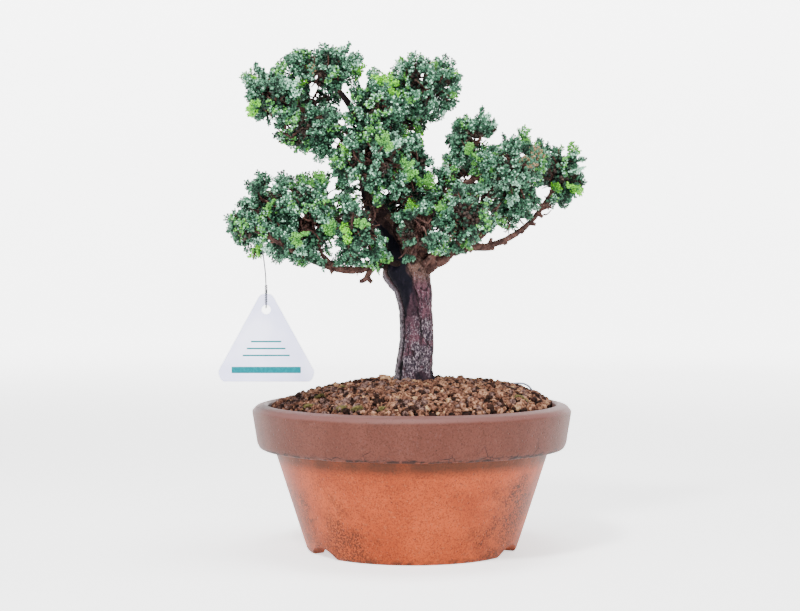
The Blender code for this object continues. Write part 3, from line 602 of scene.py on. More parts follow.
@dataclass(frozen=True)
class OldBark:
    """Bark whose colours follow the mesh: fissures, a charred scar with painted shade beside it, a weathered
    margin and red plates.
    """

    brown: Colour = tone(42, 26, 34)
    rose: Colour = tone(84, 54, 63)
    tan: Colour = tone(84, 62, 54)
    grey: Colour = tone(88, 76, 84)
    pale: Colour = tone(142, 130, 136)
    strip: Colour = tone(86, 79, 84)
    # The scar's black char, also used for painted shade beside it.
    char_and_shade: Colour = tone(3, 3, 12)
    slate: Colour = tone(30, 25, 34)
    fissure: Colour = tone(4, 3, 5)

    def material(self) -> Finish:
        """Builds the trunk's bark.

        Returns:
            The material.
        """
        tree = FinishTree("old_bark", 0.7, specular=0.08)
        charred_and_shaded = tree.attribute("charred_and_shaded")
        streaks = tree.noise(300, 5, (1, 1, 0.28))
        flecks = tree.noise(1150, 4, (1, 1, 0.6))
        wood = tree.mix(self.brown, self.rose, tree.mask(streaks, 0.38, 0.62))
        wood = tree.mix(wood, self.tan, tree.mask(tree.height(), 0.196, 0.212))
        grey = tree.mix(self.grey, self.pale, tree.mask(flecks, 0.42, 0.62))
        slate = tree.mix(self.slate, grey, tree.patchy((760, 4, 0.44, 0.6, (1, 1, 0.6))))
        slate = tree.mix(slate, wood, tree.patchy((120, 3, 0.5, 0.62)))
        wood = tree.mix(wood, slate, tree.attribute("weathered"))
        # Black scar, and painted shade left of the middle crack.
        wood = tree.mix(wood, tree.mix(self.char_and_shade, self.slate, tree.mask(streaks, 0.48, 0.8)), charred_and_shaded)
        wood = tree.mix(wood, self.strip, tree.attribute("margin"))
        wood = tree.mix(wood, self.pale, tree.mask(flecks, 0.56, 0.7), 0.55, tree.mask(charred_and_shaded, 0.7, 0.3))
        wood = tree.mix(wood, self.fissure, tree.mask(flecks, 0.44, 0.34), 0.7)
        tree.colour(tree.mix(wood, self.fissure, tree.attribute("fissure")))
        tree.bump(flecks, 0.35, 0.8)
        tree.bump(tree.noise(1900, 3), 0.12, 0.6)
        return tree.material


@dataclass(frozen=True)
class TwigBark:
    """Red-brown bark of boughs and twigs, greyer where it is weathered."""

    brown: Colour = tone(48, 32, 30)
    red: Colour = tone(78, 54, 48)
    grey: Colour = tone(112, 92, 84)
    fissure: Colour = tone(8, 5, 5)

    def material(self) -> Finish:
        """Builds the boughs' bark.

        Returns:
            The material.
        """
        tree = FinishTree("twig_bark", 0.8, specular=0.08)
        wood = tree.mix(self.brown, self.red, tree.patchy((240, 4, 0.4, 0.62)))
        wood = tree.mix(wood, self.grey, tree.patchy((620, 4, 0.54, 0.72)), 0.7)
        tree.colour(tree.mix(wood, self.fissure, tree.attribute("fissure")))
        tree.bump(tree.noise(1300, 4), 0.25, 0.8)
        return tree.material


@dataclass(frozen=True)
class Mottled:
    """A finish of two near shades in soft patches.

    Attributes:
        patches: The patches, as FinishTree.patchy takes them.
        grain: A bump as the scale and detail of its noise, its height in millimetres and its strength.
    """

    name: str
    shade: Colour
    light: Colour
    roughness: float
    specular: float = 0.5
    metallic: float = 0.0
    patches: Patches = (600, 3, 0.4, 0.65)
    grain: tuple = ()

    def material(self) -> Finish:
        """Builds the finish.

        Returns:
            The material.
        """
        tree = FinishTree(self.name, self.roughness, self.metallic, self.specular)
        tree.colour(tree.mix(self.shade, self.light, tree.patchy(self.patches)))
        if self.grain:
            scale, detail, height, strength = self.grain
            tree.bump(tree.noise(scale, detail), height, strength)
        return tree.material


def crumbled_clay(name: str, shade: Colour, light: Colour) -> Mottled:
    """Baked clay of the soil, in one of several shades."""
    return Mottled(name, shade, light, 0.9, 0.05, patches=(560, 4, 0.38, 0.62),
                   grain=(2200, 4, 0.25, 0.8))


def waxy(name: str, shade: Colour, light: Colour, roughness: float = 0.46) -> Mottled:
    """Waxy scale leaves, or moss, of one tint."""
    return Mottled(name, shade, light, roughness, 0.26, patches=(640, 3, 0.38, 0.62))


TAG_PLASTIC = Mottled("tag_plastic", tone(198, 199, 232), tone(222, 222, 246), 0.34, 0.3,
                      patches=(26, 2, 0.35, 0.7), grain=(700, 2, 0.03, 0.4))
TAG_INK = Mottled("tag_ink", tone(0, 92, 100), tone(0, 104, 112), 0.8, 0.08)
TAG_STEEL = Mottled("wire_steel", tone(40, 42, 48), tone(76, 78, 86), 0.4, metallic=0.7)
TRAINING_STEEL = Mottled("training_wire", tone(70, 76, 92), tone(120, 126, 140), 0.4, metallic=0.8)
MOSS = waxy("moss", tone(58, 52, 24), tone(104, 94, 50), 0.8)
# The bed under the crumbs is near black: painted shade in the gaps between them.
SHADED_SOIL_BED = crumbled_clay("shaded_soil_bed", tone(12, 7, 6), tone(26, 16, 13))
CRUMBS = (
    crumbled_clay("crumb_red", tone(48, 27, 20), tone(108, 74, 59)),
    crumbled_clay("crumb_orange", tone(76, 48, 34), tone(146, 108, 86)),
    crumbled_clay("crumb_dark", tone(14, 8, 6), tone(46, 29, 24)),
    crumbled_clay("crumb_mauve", tone(48, 33, 30), tone(108, 84, 77)),
    crumbled_clay("crumb_pale", tone(110, 80, 56), tone(160, 130, 100)),
)
# Leaf tints: the darkest green is painted shade, the frosted tint also paints highlights, and the dark brown
# dead leaves are darkened as painted shade.
LEAVES = {tint: waxy(f"leaf_{tint.value}", *look) for tint, *look in (
    (Tint.DEEP_SHADE, tone(6, 24, 17), tone(26, 56, 40)), (Tint.TEAL, tone(38, 76, 56), tone(72, 118, 90)),
    (Tint.FROST_AND_HIGHLIGHT, tone(106, 156, 130), tone(166, 208, 184), 0.36),
    (Tint.GREEN, tone(46, 100, 50), tone(78, 136, 74)), (Tint.FRESH, tone(70, 136, 54), tone(102, 166, 72)),
    (Tint.LIME, tone(82, 164, 26), tone(124, 204, 44)), (Tint.DRY, tone(96, 78, 56), tone(146, 124, 92), 0.7),
    (Tint.DEAD_AND_SHADE, tone(24, 18, 15), tone(56, 42, 35), 0.7),
)}


def settle(piece: Piece, nodes: Iterable[str] = ()) -> Piece:
    """Makes a piece ride with the plant and the solids that it stands for, and reports it.

    Args:
        piece: The finished piece.
        nodes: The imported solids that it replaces.

    Returns:
        The same piece.
    """
    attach(piece, BODY)
    if nodes:
        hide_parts(*nodes)
    LOG.info("%s: %d triangles", piece.name, sum(len(face.vertices) - 2 for face in piece.data.polygons))
    return piece


def piece_from(bm: Shape, name: str, finish: Finish,
               smooth_angle: float | None = None) -> Piece:
    """Turns a bmesh into a piece with outward faces, and frees the bmesh.

    Args:
        bm: The shape, in metres.
        name: The piece's name.
        finish: Its material.
        smooth_angle: Edges sharper than this many degrees stay sharp. Without it the piece is faceted.

    Returns:
        The new object, at the origin.
    """
    bmesh.ops.recalc_face_normals(bm, faces=bm.faces)
    mesh = bpy.data.meshes.new(name)
    bm.to_mesh(mesh)
    bm.free()
    if smooth_angle is not None:
        mesh.shade_smooth()
        mesh.set_sharp_from_angle(angle=math.radians(smooth_angle))
    return placed(mesh, finish)


def placed(mesh: bpy.types.Mesh, finish: Finish) -> Piece:
    """Gives a mesh its finish and puts it in the scene.

    Args:
        mesh: The finished mesh.
        finish: Its material.

    Returns:
        The new object, at the origin.
    """
    mesh.materials.append(finish)
    piece = bpy.data.objects.new(mesh.name, mesh)
    bpy.context.scene.collection.objects.link(piece)
    return piece


@dataclass
class Template:
    """A small closed shape that is copied many times: its points and its triangles."""

    points: Array
    faces: Array

    @classmethod
    def read(cls, bm: Shape) -> Template:
        """Reads a bmesh as triangles with outward faces, and frees it.

        Args:
            bm: The shape.

        Returns:
            The template.
        """
        bmesh.ops.recalc_face_normals(bm, faces=bm.faces)
        bmesh.ops.triangulate(bm, faces=bm.faces)
        bm.verts.index_update()
        points = np.array([tuple(vert.co) for vert in bm.verts])
        faces = np.array([[vert.index for vert in face.verts] for face in bm.faces])
        bm.free()
        return cls(points, faces)


class Batch:
    """Copies of small shapes, gathered to become one joined mesh."""

    def __init__(self) -> None:
        """Starts empty."""
        self.points: list[Array] = []
        self.faces: list[Array] = []
        self.count = 0

    def add(self, points: Array, faces: Array) -> None:
        """Adds copies of a shape.

        Args:
            points: The points of every copy, as (copies, points, 3), in millimetres.
            faces: The triangles of one copy.
        """
        copies, size = points.shape[:2]
        first = self.count + size * np.arange(copies)[:, None, None]
        self.points.append(points.reshape(-1, 3))
        self.faces.append((faces[None] + first).reshape(-1, 3))
        self.count += copies * size

    def lay(self, tube: TubeShape, ways: Array, radii: Array, relief: Array | float = 0.0) -> Batch:
        """Adds a tube along each way, as TubeShape.lay says, and returns the batch."""
        self.add(tube.lay(ways, radii, relief), tube.faces)
        return self

    def piece(self, name: str, finish: Finish, smooth: bool = True) -> Piece:
        """Makes the joined mesh as one piece.

        Args:
            name: The piece's name.
            finish: Its material.
            smooth: Whether it is shaded smooth.

        Returns:
            The new object, at the origin.
        """
        points = np.concatenate(self.points) * MM
        faces = np.concatenate(self.faces).astype(np.int32)
        mesh = bpy.data.meshes.new(name)
        mesh.vertices.add(len(points))
        mesh.vertices.foreach_set("co", points.astype(np.float32).ravel())
        mesh.loops.add(faces.size)
        mesh.loops.foreach_set("vertex_index", faces.ravel())
        mesh.polygons.add(len(faces))
        mesh.polygons.foreach_set("loop_start", np.arange(0, faces.size, 3, dtype=np.int32))
        mesh.update(calc_edges=True)
        if smooth:
            mesh.shade_smooth()
        return placed(mesh, finish)


def smooth_path(points: Sequence, values: Sequence[float], steps: int) -> tuple[list[Vector], list[float]]:
    """Points on a Catmull-Rom curve through the given ones, with a value carried along to each.

    Args:
        points: The points that the curve passes through.
        values: One value at each of them.
        steps: How many points each span is given.

    Returns:
        The points of the curve and the value at each.
    """
    points = [Vector(point) for point in points]
    ends = [2 * points[0] - points[1], *points, 2 * points[-1] - points[-2]]
    places, carried = [], []
    for span in range(len(points) - 1):
        before, start, stop, after = ends[span:span + 4]
        for step in range(steps):
            t = step / steps
            places.append(0.5 * (2 * start + (stop - before) * t
                                 + (2 * before - 5 * start + 4 * stop - after) * t**2
                                 + (3 * start - before - 3 * stop + after) * t**3))
            carried.append(values[span] + (values[span + 1] - values[span]) * t)
    return [*places, points[-1]], [*carried, values[-1]]


def limb_points(limb: Limb, steps: int) -> tuple[list[Vector], list[float]]:
    """A limb's smooth path and its radius at each point of it.

    Args:
        limb: The limb.
        steps: How many points each span of its path is given.

    Returns:
        The points in millimetres, and the radius at each.
    """
    if limb.name == "trunk":
        return smooth_path(limb.path, TRUNK_RADII, steps)
    count = len(limb.path) - 1
    radii = [limb.thick + (limb.thin - limb.thick) * (index / count) ** 0.8 for index in range(count + 1)]
    return smooth_path(limb.path, radii, steps)


def turned(profile: Sequence[tuple[float, float]], steps: int) -> Shape:
    """A bmesh turned about Z from an open profile of (radius, height) points in millimetres.

    Args:
        profile: The points.
        steps: How many faces go round.

    Returns:
        The turned shape, in metres.
    """
    bm = bmesh.new()
    verts = [bm.verts.new((radius * MM, 0.0, height * MM)) for radius, height in profile]
    for first, second in zip(verts, verts[1:]):
        bm.edges.new((first, second))
    bmesh.ops.spin(bm, geom=bm.verts[:] + bm.edges[:], cent=(0, 0, 0), axis=(0, 0, 1),
                   angle=math.tau, steps=steps, use_merge=True, use_duplicate=False)
    bmesh.ops.remove_doubles(bm, verts=bm.verts, dist=SAME_PLACE)
    return bm


def softened(profile: Sequence[tuple[float, float, float]], spacing: float) -> list[tuple[float, float]]:
    """Rounds the corners of a profile and sets points along it.

    Args:
        profile: Points as (radius, height, size of the rounding), in millimetres.
        spacing: The most distance between two points of the result.

    Returns:
        The points of the rounded profile as (radius, height).
    """
    corners = [Vector(point[:2]) for point in profile]
    line = [corners[0]]
    for before, corner, after, (_, _, size) in zip(corners, corners[1:], corners[2:], profile[1:]):
        into, out = (before - corner), (after - corner)
        start = corner + into.normalized() * min(size, into.length * 0.45)
        stop = corner + out.normalized() * min(size, out.length * 0.45)
        for t in (0.0, 0.33, 0.67, 1.0):
            line.append(start.lerp(corner, t).lerp(corner.lerp(stop, t), t))
    line.append(corners[-1])
    result = [line[0]]
    for first, second in zip(line, line[1:]):
        parts = max(1, math.ceil((second - first).length / spacing))
        result += [first.lerp(second, part / parts) for part in range(1, parts + 1)]
    return [(point.x, point.y) for point in result]


@dataclass
class Pot:
    """The pot: a thick rolled rim over a tapering body, on a foot ring with three arched notches.

    Attributes:
        rim_bottom_radius: Radius of the rim at its lower edge.
        body_top_radius: Radius of the body under the rim.
        steps: How many faces go round the pot.
    """

    rim_bottom: float = 77.0
    rim_bottom_radius: float = 116.6
    rim_top: float = 105.6
    lip_radius: float = 109.4
    lip_top: float = 110.0
    body_top_radius: float = 103.6
    foot_radius: float = 79.0
    foot_width: float = 9.5
    foot_height: float = 9.0
    floor_top: float = 18.0
    floor_radius: float = 76.0
    drain_radius: float = 11.0
    notches: int = 3
    notch_turn: float = -25.5
    notch_half_width: float = 17.0
    notch_height: float = 8.0
    steps: int = 300
    # Chips out of the rim's lower edge: degrees from the front towards +X, half width, height and depth.
    chips: tuple = ((-19, 2.2, 3.0, 1.3), (-13.2, 6.0, 2.2, 0.7), (11.5, 7.0, 1.8, 0.8), (17, 3.2, 1.8, 1.0),
                    (25, 6.0, 3.4, 1.0), (41, 3.0, 2.0, 0.9), (-35, 5.0, 1.6, 0.8), (118, 5.0, 2.6, 1.0),
                    (-150, 4.0, 2.6, 1.0))
    # Where the rim is cracked: degrees from the front, height and reach.
    cracks: tuple = ((-15, 80, 7), (12, 79, 6), (26, 82, 8), (48, 84, 8), (140, 84, 9))

    def profile(self) -> list[tuple[float, float]]:
        """The wall's outline, from the drain hole round the outside and back to it.

        Returns:
            The outline's points, as (radius, height).
        """
        rim_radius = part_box("pot")[1].x / MM
        wall = self.foot_radius - self.foot_width
        return softened((
            (self.drain_radius, self.foot_height, 0.0), (wall, self.foot_height, 1.0),
            (wall + 0.6, 0.0, 0.8), (self.foot_radius - 0.6, 0.0, 1.2),
            (self.foot_radius + 0.6, 1.6, 1.2),
            (self.body_top_radius, self.rim_bottom - 1.5, 1.0),
            (self.body_top_radius + 1.4, self.rim_bottom - 0.4, 1.0),
            (self.rim_bottom_radius - 2.0, self.rim_bottom, 1.0),
            (self.rim_bottom_radius, self.rim_bottom + 3.2, 2.6),
            (rim_radius, self.rim_top - 1.0, 1.2), (rim_radius - 3.2, self.rim_top + 2.6, 1.4),
            (self.lip_radius + 1.4, self.lip_top, 1.2), (self.lip_radius - 0.6, self.lip_top - 1.2, 1.0),
            (self.lip_radius - 1.2, self.rim_top, 1.0), (self.floor_radius, self.floor_top, 1.0),
            (self.drain_radius, self.floor_top, 0.5), (self.drain_radius, self.foot_height, 0.0),
        ), 1.7)

    def build(self, finish: Finish) -> Piece:
        """Makes the pot with its dents, chips and cracks, and cuts the notches.

        Args:
            finish: The fired clay.

        Returns:
            The finished piece.
        """
        bm = turned(self.profile(), self.steps)
        chip_layer = bm.verts.layers.float.new("chip")
        crack_layer = bm.verts.layers.float.new("crack")
        for vert in bm.verts:
            outwards = Vector((vert.co.x, vert.co.y, 0.0))
            if outwards.length < 0.9 * self.floor_radius * MM:
                continue
            height = vert.co.z / MM
            angle = math.degrees(math.atan2(outwards.x, -outwards.y))
            chip = self.chip_depth(angle, height, vert.co)
            vert[chip_layer] = min(1.0, chip)
            vert[crack_layer] = self.crack_share(angle, height)
            wobble = 0.22 * noise.noise(vert.co * 22.0) + 0.07 * noise.noise(vert.co * 160.0)
            outwards.normalize()
            vert.co += outwards * (wobble - chip) * MM
            if chip:
                vert.co.z += 0.35 * chip * MM
        pot = piece_from(bm, "pot_wall", finish, 40)
        cut(pot, self.notch_cutter(finish))
        return settle(pot, ["pot"])

    def along_rim(self, angle: float, middle: float) -> float:
        """The way round the rim from one angle to another, in millimetres."""
        return math.radians((angle - middle + 180.0) % 360.0 - 180.0) * self.rim_bottom_radius

    def chip_depth(self, angle: float, height: float, place: Vector) -> float:
        """How deep the rim's lower edge is chipped at a point, in millimetres.

        Args:
            angle: The point's angle from the front, in degrees.
            height: Its height.
            place: The point itself, in metres.

        Returns:
            The depth.
        """
        if not self.rim_bottom - 1.0 <= height <= self.rim_bottom + 8.0:
            return 0.0
        ragged = 0.35 * noise.noise(place * 420.0)
        depth = 0.0
        for middle, half_width, reach, most in self.chips:
            across = self.along_rim(angle, middle) / half_width
            share = math.hypot(across, (height - self.rim_bottom) / reach) + ragged
            depth = max(depth, most * max(0.0, 1.0 - share) ** 0.5 if share < 1.0 else 0.0)
        return depth

    def crack_share(self, angle: float, height: float) -> float:
        """How strongly the rim is cracked at a point, from 0 to 1.

        Args:
            angle: The point's angle from the front, in degrees.
            height: Its height.

        Returns:
            The share.
        """
        if not self.rim_bottom <= height <= self.rim_top:
            return 0.0
        strength = max(1.0 - math.hypot(self.along_rim(angle, middle), height - level) / reach
                       for middle, level, reach in self.cracks)
        return max(0.0, min(1.0, 2.0 * strength))

    def notch_cutter(self, finish: Finish) -> Piece:
        """The arched notches of the foot ring, as one cutter of as many drums.

        Args:
            finish: A material, which the cut faces take.

        Returns:
            The cutter.
        """
        radius = (self.notch_half_width**2 + self.notch_height**2) / (2 * self.notch_height)
        drums = bmesh.new()
        for index in range(self.notches):
            angle = math.radians(self.notch_turn + 360.0 / self.notches * index)
            outwards = Vector((math.cos(angle), math.sin(angle), 0.0))
            middle = outwards * (self.foot_radius - 2.0) + Vector((0, 0, self.notch_height - radius))
            turn = outwards.to_track_quat("Z", "Y").to_matrix().to_4x4()
            bmesh.ops.create_cone(drums, cap_ends=True, segments=96, radius1=radius * MM, radius2=radius * MM,
                                  depth=34.0 * MM, matrix=Matrix.Translation(middle * MM) @ turn)
        return piece_from(drums, "notches", finish)


@dataclass
class Soil:
    """The soil: a mound of baked clay crumbs with cushions of moss.

    Attributes:
        edge: Height of the soil at the pot's wall.
        seat: Height of the flat under the trunk, and seat_radius its radius.
        wall_radius: Radius of the pot's inner wall at the soil's edge.
        crumbs: How many crumbs cover the mound, and loose how many more lie on them.
        sink: How far the crumbs away from the trunk lie below the mound's surface.
    """

    edge: float = 106.2
    seat: float = 125.7
    seat_radius: float = 20.0
    wall_radius: float = 107.8
    floor: float = 18.3
    floor_radius: float = 75.5
    power: float = 4.3
    skew: float = 1.2
    crumbs: int = 4300
    loose: int = 320
    crumb_size: float = 1.95
    sink: float = 2.0
    # Large lumps: place across and along, size, and which shade.
    lumps: tuple = ((-19, -8, 3.6, 4), (-41, -2, 3.0, 2), (-33, -6, 2.8, 2), (-70, -30, 3.0, 0),
                    (58, -34, 3.2, 2), (34, 6, 2.6, 0), (-22, 20, 3.0, 1))
    # The loop of training wire that stands out of the soil.
    wire: tuple = ((70, 8, 114), (73, 7, 119.5), (77, 6, 123.6), (85, 4, 123.8), (90, 2, 120.6), (93, 1, 114))
    wire_radius: float = 0.7
    # Moss cushions: place across and along, and radius.
    moss: tuple = ((-67, -42, 3.4), (-52, -24, 2.6), (-75, -63, 3.2), (-50, -84, 2.8), (-39, -90, 3.8),
                   (-22, -96, 2.6), (79, -50, 3.8), (30, 88, 4.0), (-48, 74, 3.4), (88, 34, 3.2))

    def height(self, x: float, y: float) -> float:
        """The mound's surface: steeper towards the left edge than towards the right.

        Args:
            x: The place across.
            y: The place along.

        Returns:
            The height, in millimetres.
        """
        radius = math.hypot(x, y)
        if radius <= self.seat_radius:
            return self.seat
        share = min((radius - self.seat_radius) / (self.wall_radius - GAP - self.seat_radius), 1.0)
        power = self.power - 1.0 + self.skew * x / radius
        bump = 0.5 * math.sin(0.11 * x + 1.0) * math.sin(0.13 * y) * (1.0 - share) * min(1.0, 4 * share)
        return self.edge + (self.seat - self.edge) * (1.0 - share**power) + bump

    def sunk(self, x: float, y: float) -> float:
        """The crumbs' middle height at a place: at the surface by the trunk and the wall, else lower.

        Args:
            x: The place across.
            y: The place along.

        Returns:
            The height, in millimetres.
        """
        radius = math.hypot(x, y)
        inside = step(radius, self.seat_radius, 2.4 * self.seat_radius)
        inside *= step(radius, self.wall_radius - 3.0, self.wall_radius - 22.0)
        return self.height(x, y) - self.sink * inside

    def build(self) -> None:
        """Makes the bed, the crumbs by shade, and the moss."""
        rng = np.random.default_rng(SEED)
        settle(self.build_bed(), ["soil"])
        batches = [Batch() for _ in CRUMBS]
        templates = [self.crumb_template(random.Random(SEED + turn)) for turn in range(9)]
        for index in range(self.crumbs + self.loose):
            on_top = index >= self.crumbs
            place, size = self.crumb_place(index, on_top, rng)
            batch = batches[self.pick_shade(place, rng)]
            template = templates[rng.integers(len(templates))]
            turn = np.array(Quaternion(rng.normal(size=4)).normalized().to_matrix())
            stretch = size * rng.uniform(0.78, 1.22, 3)
            batch.add(((template.points * stretch) @ turn.T + place)[None], template.faces)
        for x, y, size, kind in self.lumps:
            place = (x, y, self.sunk(x, y) + 0.8 * size)
            batches[kind].add((templates[kind].points * (1.2 * size, size, 0.85 * size) + place)[None],
                              templates[kind].faces)
        for crumbs, batch in zip(CRUMBS, batches):
            settle(batch.piece(crumbs.name, crumbs.material(), smooth=False))
        self.build_moss(rng)
        self.build_wire()

    def build_wire(self) -> None:
        """The loop of training wire."""
        path, widths = smooth_path(self.wire, [self.wire_radius] * len(self.wire), 10)
        tube = TubeShape(10, 40)
        places, radii = evenly(path, widths, tube.rings)
        wire = Batch().lay(tube, places[None], radii[None]).piece("training_wire", TRAINING_STEEL.material())
        settle(wire)

    def crumb_place(self, index: int, on_top: bool, rng: np.random.Generator) -> tuple[Array, float]:
        """Where one crumb lies, and its size.

        Args:
            index: The crumb's number.
            on_top: Whether it lies loose on the others.
            rng: The draws.

        Returns:
            The crumb's middle and its size.
        """
        share = (index + 0.5) / self.crumbs if not on_top else rng.uniform(0.03, 0.92)
        radius = (self.wall_radius - 3.4) * math.sqrt(share)
        radius = max(radius + rng.uniform(-1.0, 1.0), 8.0)
        radius = min(radius, self.wall_radius - 3.4)
        angle = GOLDEN_ANGLE * index + rng.uniform(-0.02, 0.02)
        x, y = radius * math.cos(angle), radius * math.sin(angle)
        size = self.crumb_size * rng.choice((0.62, 0.8, 0.95, 1.1, 1.35)) * rng.uniform(0.85, 1.15)
        lift = rng.uniform(-0.8, 0.8) if not on_top else rng.uniform(1.0, 2.0)
        return np.array((x, y, self.sunk(x, y) + lift)), size

    def pick_shade(self, place: Array, rng: np.random.Generator) -> int:
        """Deals a crumb its shade: more orange in the middle, more mauve to the left, and more dark crumbs to
        the right as a painted shadow.

        Args:
            place: The crumb's middle.
            rng: The draws.

        Returns:
            Its row in CRUMBS.
        """
        left = float(np.clip(-place[0] / 80.0, 0.0, 1.0))
        # Painted shadow: dark crumbs grow more common towards the right.
        right = float(np.clip((place[0] - 40.0) / 60.0, 0.0, 1.0))
        weights = np.array((0.36, 0.28 - 0.14 * left, 0.21 + 0.08 * right, 0.12 + 0.16 * left, 0.02))
        return int(rng.choice(len(weights), p=weights / weights.sum()))

    def build_bed(self) -> Piece:
        """The soil under the crumbs, as one closed body, near black as painted shade in the gaps between
        them.

        Returns:
            The new piece.
        """
        rings = np.linspace(self.wall_radius - GAP, 0.0, 46)
        profile = [(0.0, self.floor), (self.floor_radius, self.floor)]
        profile += [(float(radius), self.edge) for radius in rings]
        bm = turned(profile, 96)
        for vert in bm.verts:
            if vert.co.z > (self.edge - 0.5) * MM:
                x, y = vert.co.x / MM, vert.co.y / MM
                rough = 0.8 * noise.noise(Vector((x, y, 0.0)) * 0.35)
                inside = min(1.0, (self.wall_radius - math.hypot(x, y)) / 3.0)
                vert.co.z = (self.sunk(x, y) - 1.8 + rough * inside) * MM
        return piece_from(bm, "shaded_soil_bed", SHADED_SOIL_BED.material(), 60)

    def crumb_template(self, rng: random.Random) -> Template:
        """One angular crumb, a cube knocked into a lump.

        Args:
            rng: The draws.

        Returns:
            The crumb.
        """
        bm = bmesh.new()
        bmesh.ops.create_cube(bm, size=1.7)
        bmesh.ops.subdivide_edges(bm, edges=bm.edges[:], cuts=1, use_grid_fill=True)
        for vert in bm.verts:
            round_place = vert.co.normalized() * rng.uniform(0.78, 1.14)
            vert.co = vert.co.lerp(round_place, 0.6)
            vert.co += Vector([rng.uniform(-0.14, 0.14) for _ in range(3)])
        return Template.read(bm)

    def build_moss(self, rng: np.random.Generator) -> None:
        """Small cushions of moss between the crumbs.

        Args:
            rng: The draws.
        """
        batch = Batch()
        leaf = leaf_template()
        for x, y, radius in self.moss:
            for _ in range(int(26 * radius)):
                spread = rng.normal(0.0, 0.45, 2) * radius
                place = np.array((x + spread[0], y + spread[1], 0.0))
                crown = 1.4 * max(0.0, 1.0 - float(np.hypot(*spread)) / (1.6 * radius))
                place[2] = self.sunk(place[0], place[1]) + 0.8 + crown
                lean = Vector((spread[0] * 0.2, spread[1] * 0.2, 1.0)) + Vector(rng.normal(0, 0.45, 3))
                turn = np.array(lean.to_track_quat("Z", "Y").to_matrix())
                batch.add(((leaf.points * (0.7, 0.7, 2.2)) @ turn.T + place)[None], leaf.faces)
        settle(batch.piece("moss", MOSS.material()))


def leaf_template() -> Template:
    """A plump scale leaf along +Z: a four-sided drop, one long and one wide, with its root at the origin.

    Returns:
        The leaf.
    """
    bm = bmesh.new()
    bmesh.ops.create_uvsphere(bm, u_segments=4, v_segments=2, radius=0.5)
    bmesh.ops.remove_doubles(bm, verts=bm.verts, dist=1e-4)
    for vert in bm.verts:
        vert.co.z += 0.5 if abs(vert.co.z) > 0.1 else 0.68
    return Template.read(bm)


class TubeShape:
    """A closed tube of a few sides whose rings can be laid along any way."""

    def __init__(self, sides: int, rings: int) -> None:
        """Makes the tube from a grid, joined at its seam and capped.

        Args:
            sides: How many faces go round.
            rings: How many faces go along.
        """
        bm = bmesh.new()
        bmesh.ops.create_grid(bm, x_segments=sides, y_segments=rings, size=0.5)
        for vert in bm.verts:
            angle = math.tau * (vert.co.x + 0.5)
            vert.co = (math.cos(angle), math.sin(angle), (vert.co.y + 0.5) * rings)
        bmesh.ops.remove_doubles(bm, verts=bm.verts, dist=1e-4)
        bmesh.ops.holes_fill(bm, edges=bm.edges[:], sides=0)
        shape = Template.read(bm)
        self.faces = shape.faces
        self.around = shape.points[:, :2]
        self.ring = np.rint(shape.points[:, 2]).astype(int)
        self.rings = rings + 1

    def lay(self, ways: Array, radii: Array, relief: Array | float = 0.0) -> Array:
        """Lays a tube along each way.

        Args:
            ways: The points of each way, as (ways, rings, 3).
            radii: The radius at each of them, as (ways, rings).
            relief: What is added to the radius at each point, as (ways, points).

        Returns:
            The points of every tube, as (ways, points, 3).
        """
        along = np.gradient(ways, axis=1)
        along /= np.linalg.norm(along, axis=2, keepdims=True) + 1e-9
        whole = ways[:, -1] - ways[:, 0]
        least = np.argmin(np.abs(whole), axis=1)
        side = np.eye(3)[least][:, None, :]
        first = np.cross(along, side)
        first /= np.linalg.norm(first, axis=2, keepdims=True) + 1e-9
        second = np.cross(along, first)
        offsets = (first[:, self.ring] * self.around[None, :, :1]
                   + second[:, self.ring] * self.around[None, :, 1:])
        return ways[:, self.ring] + offsets * (radii[:, self.ring] + relief)[..., None]


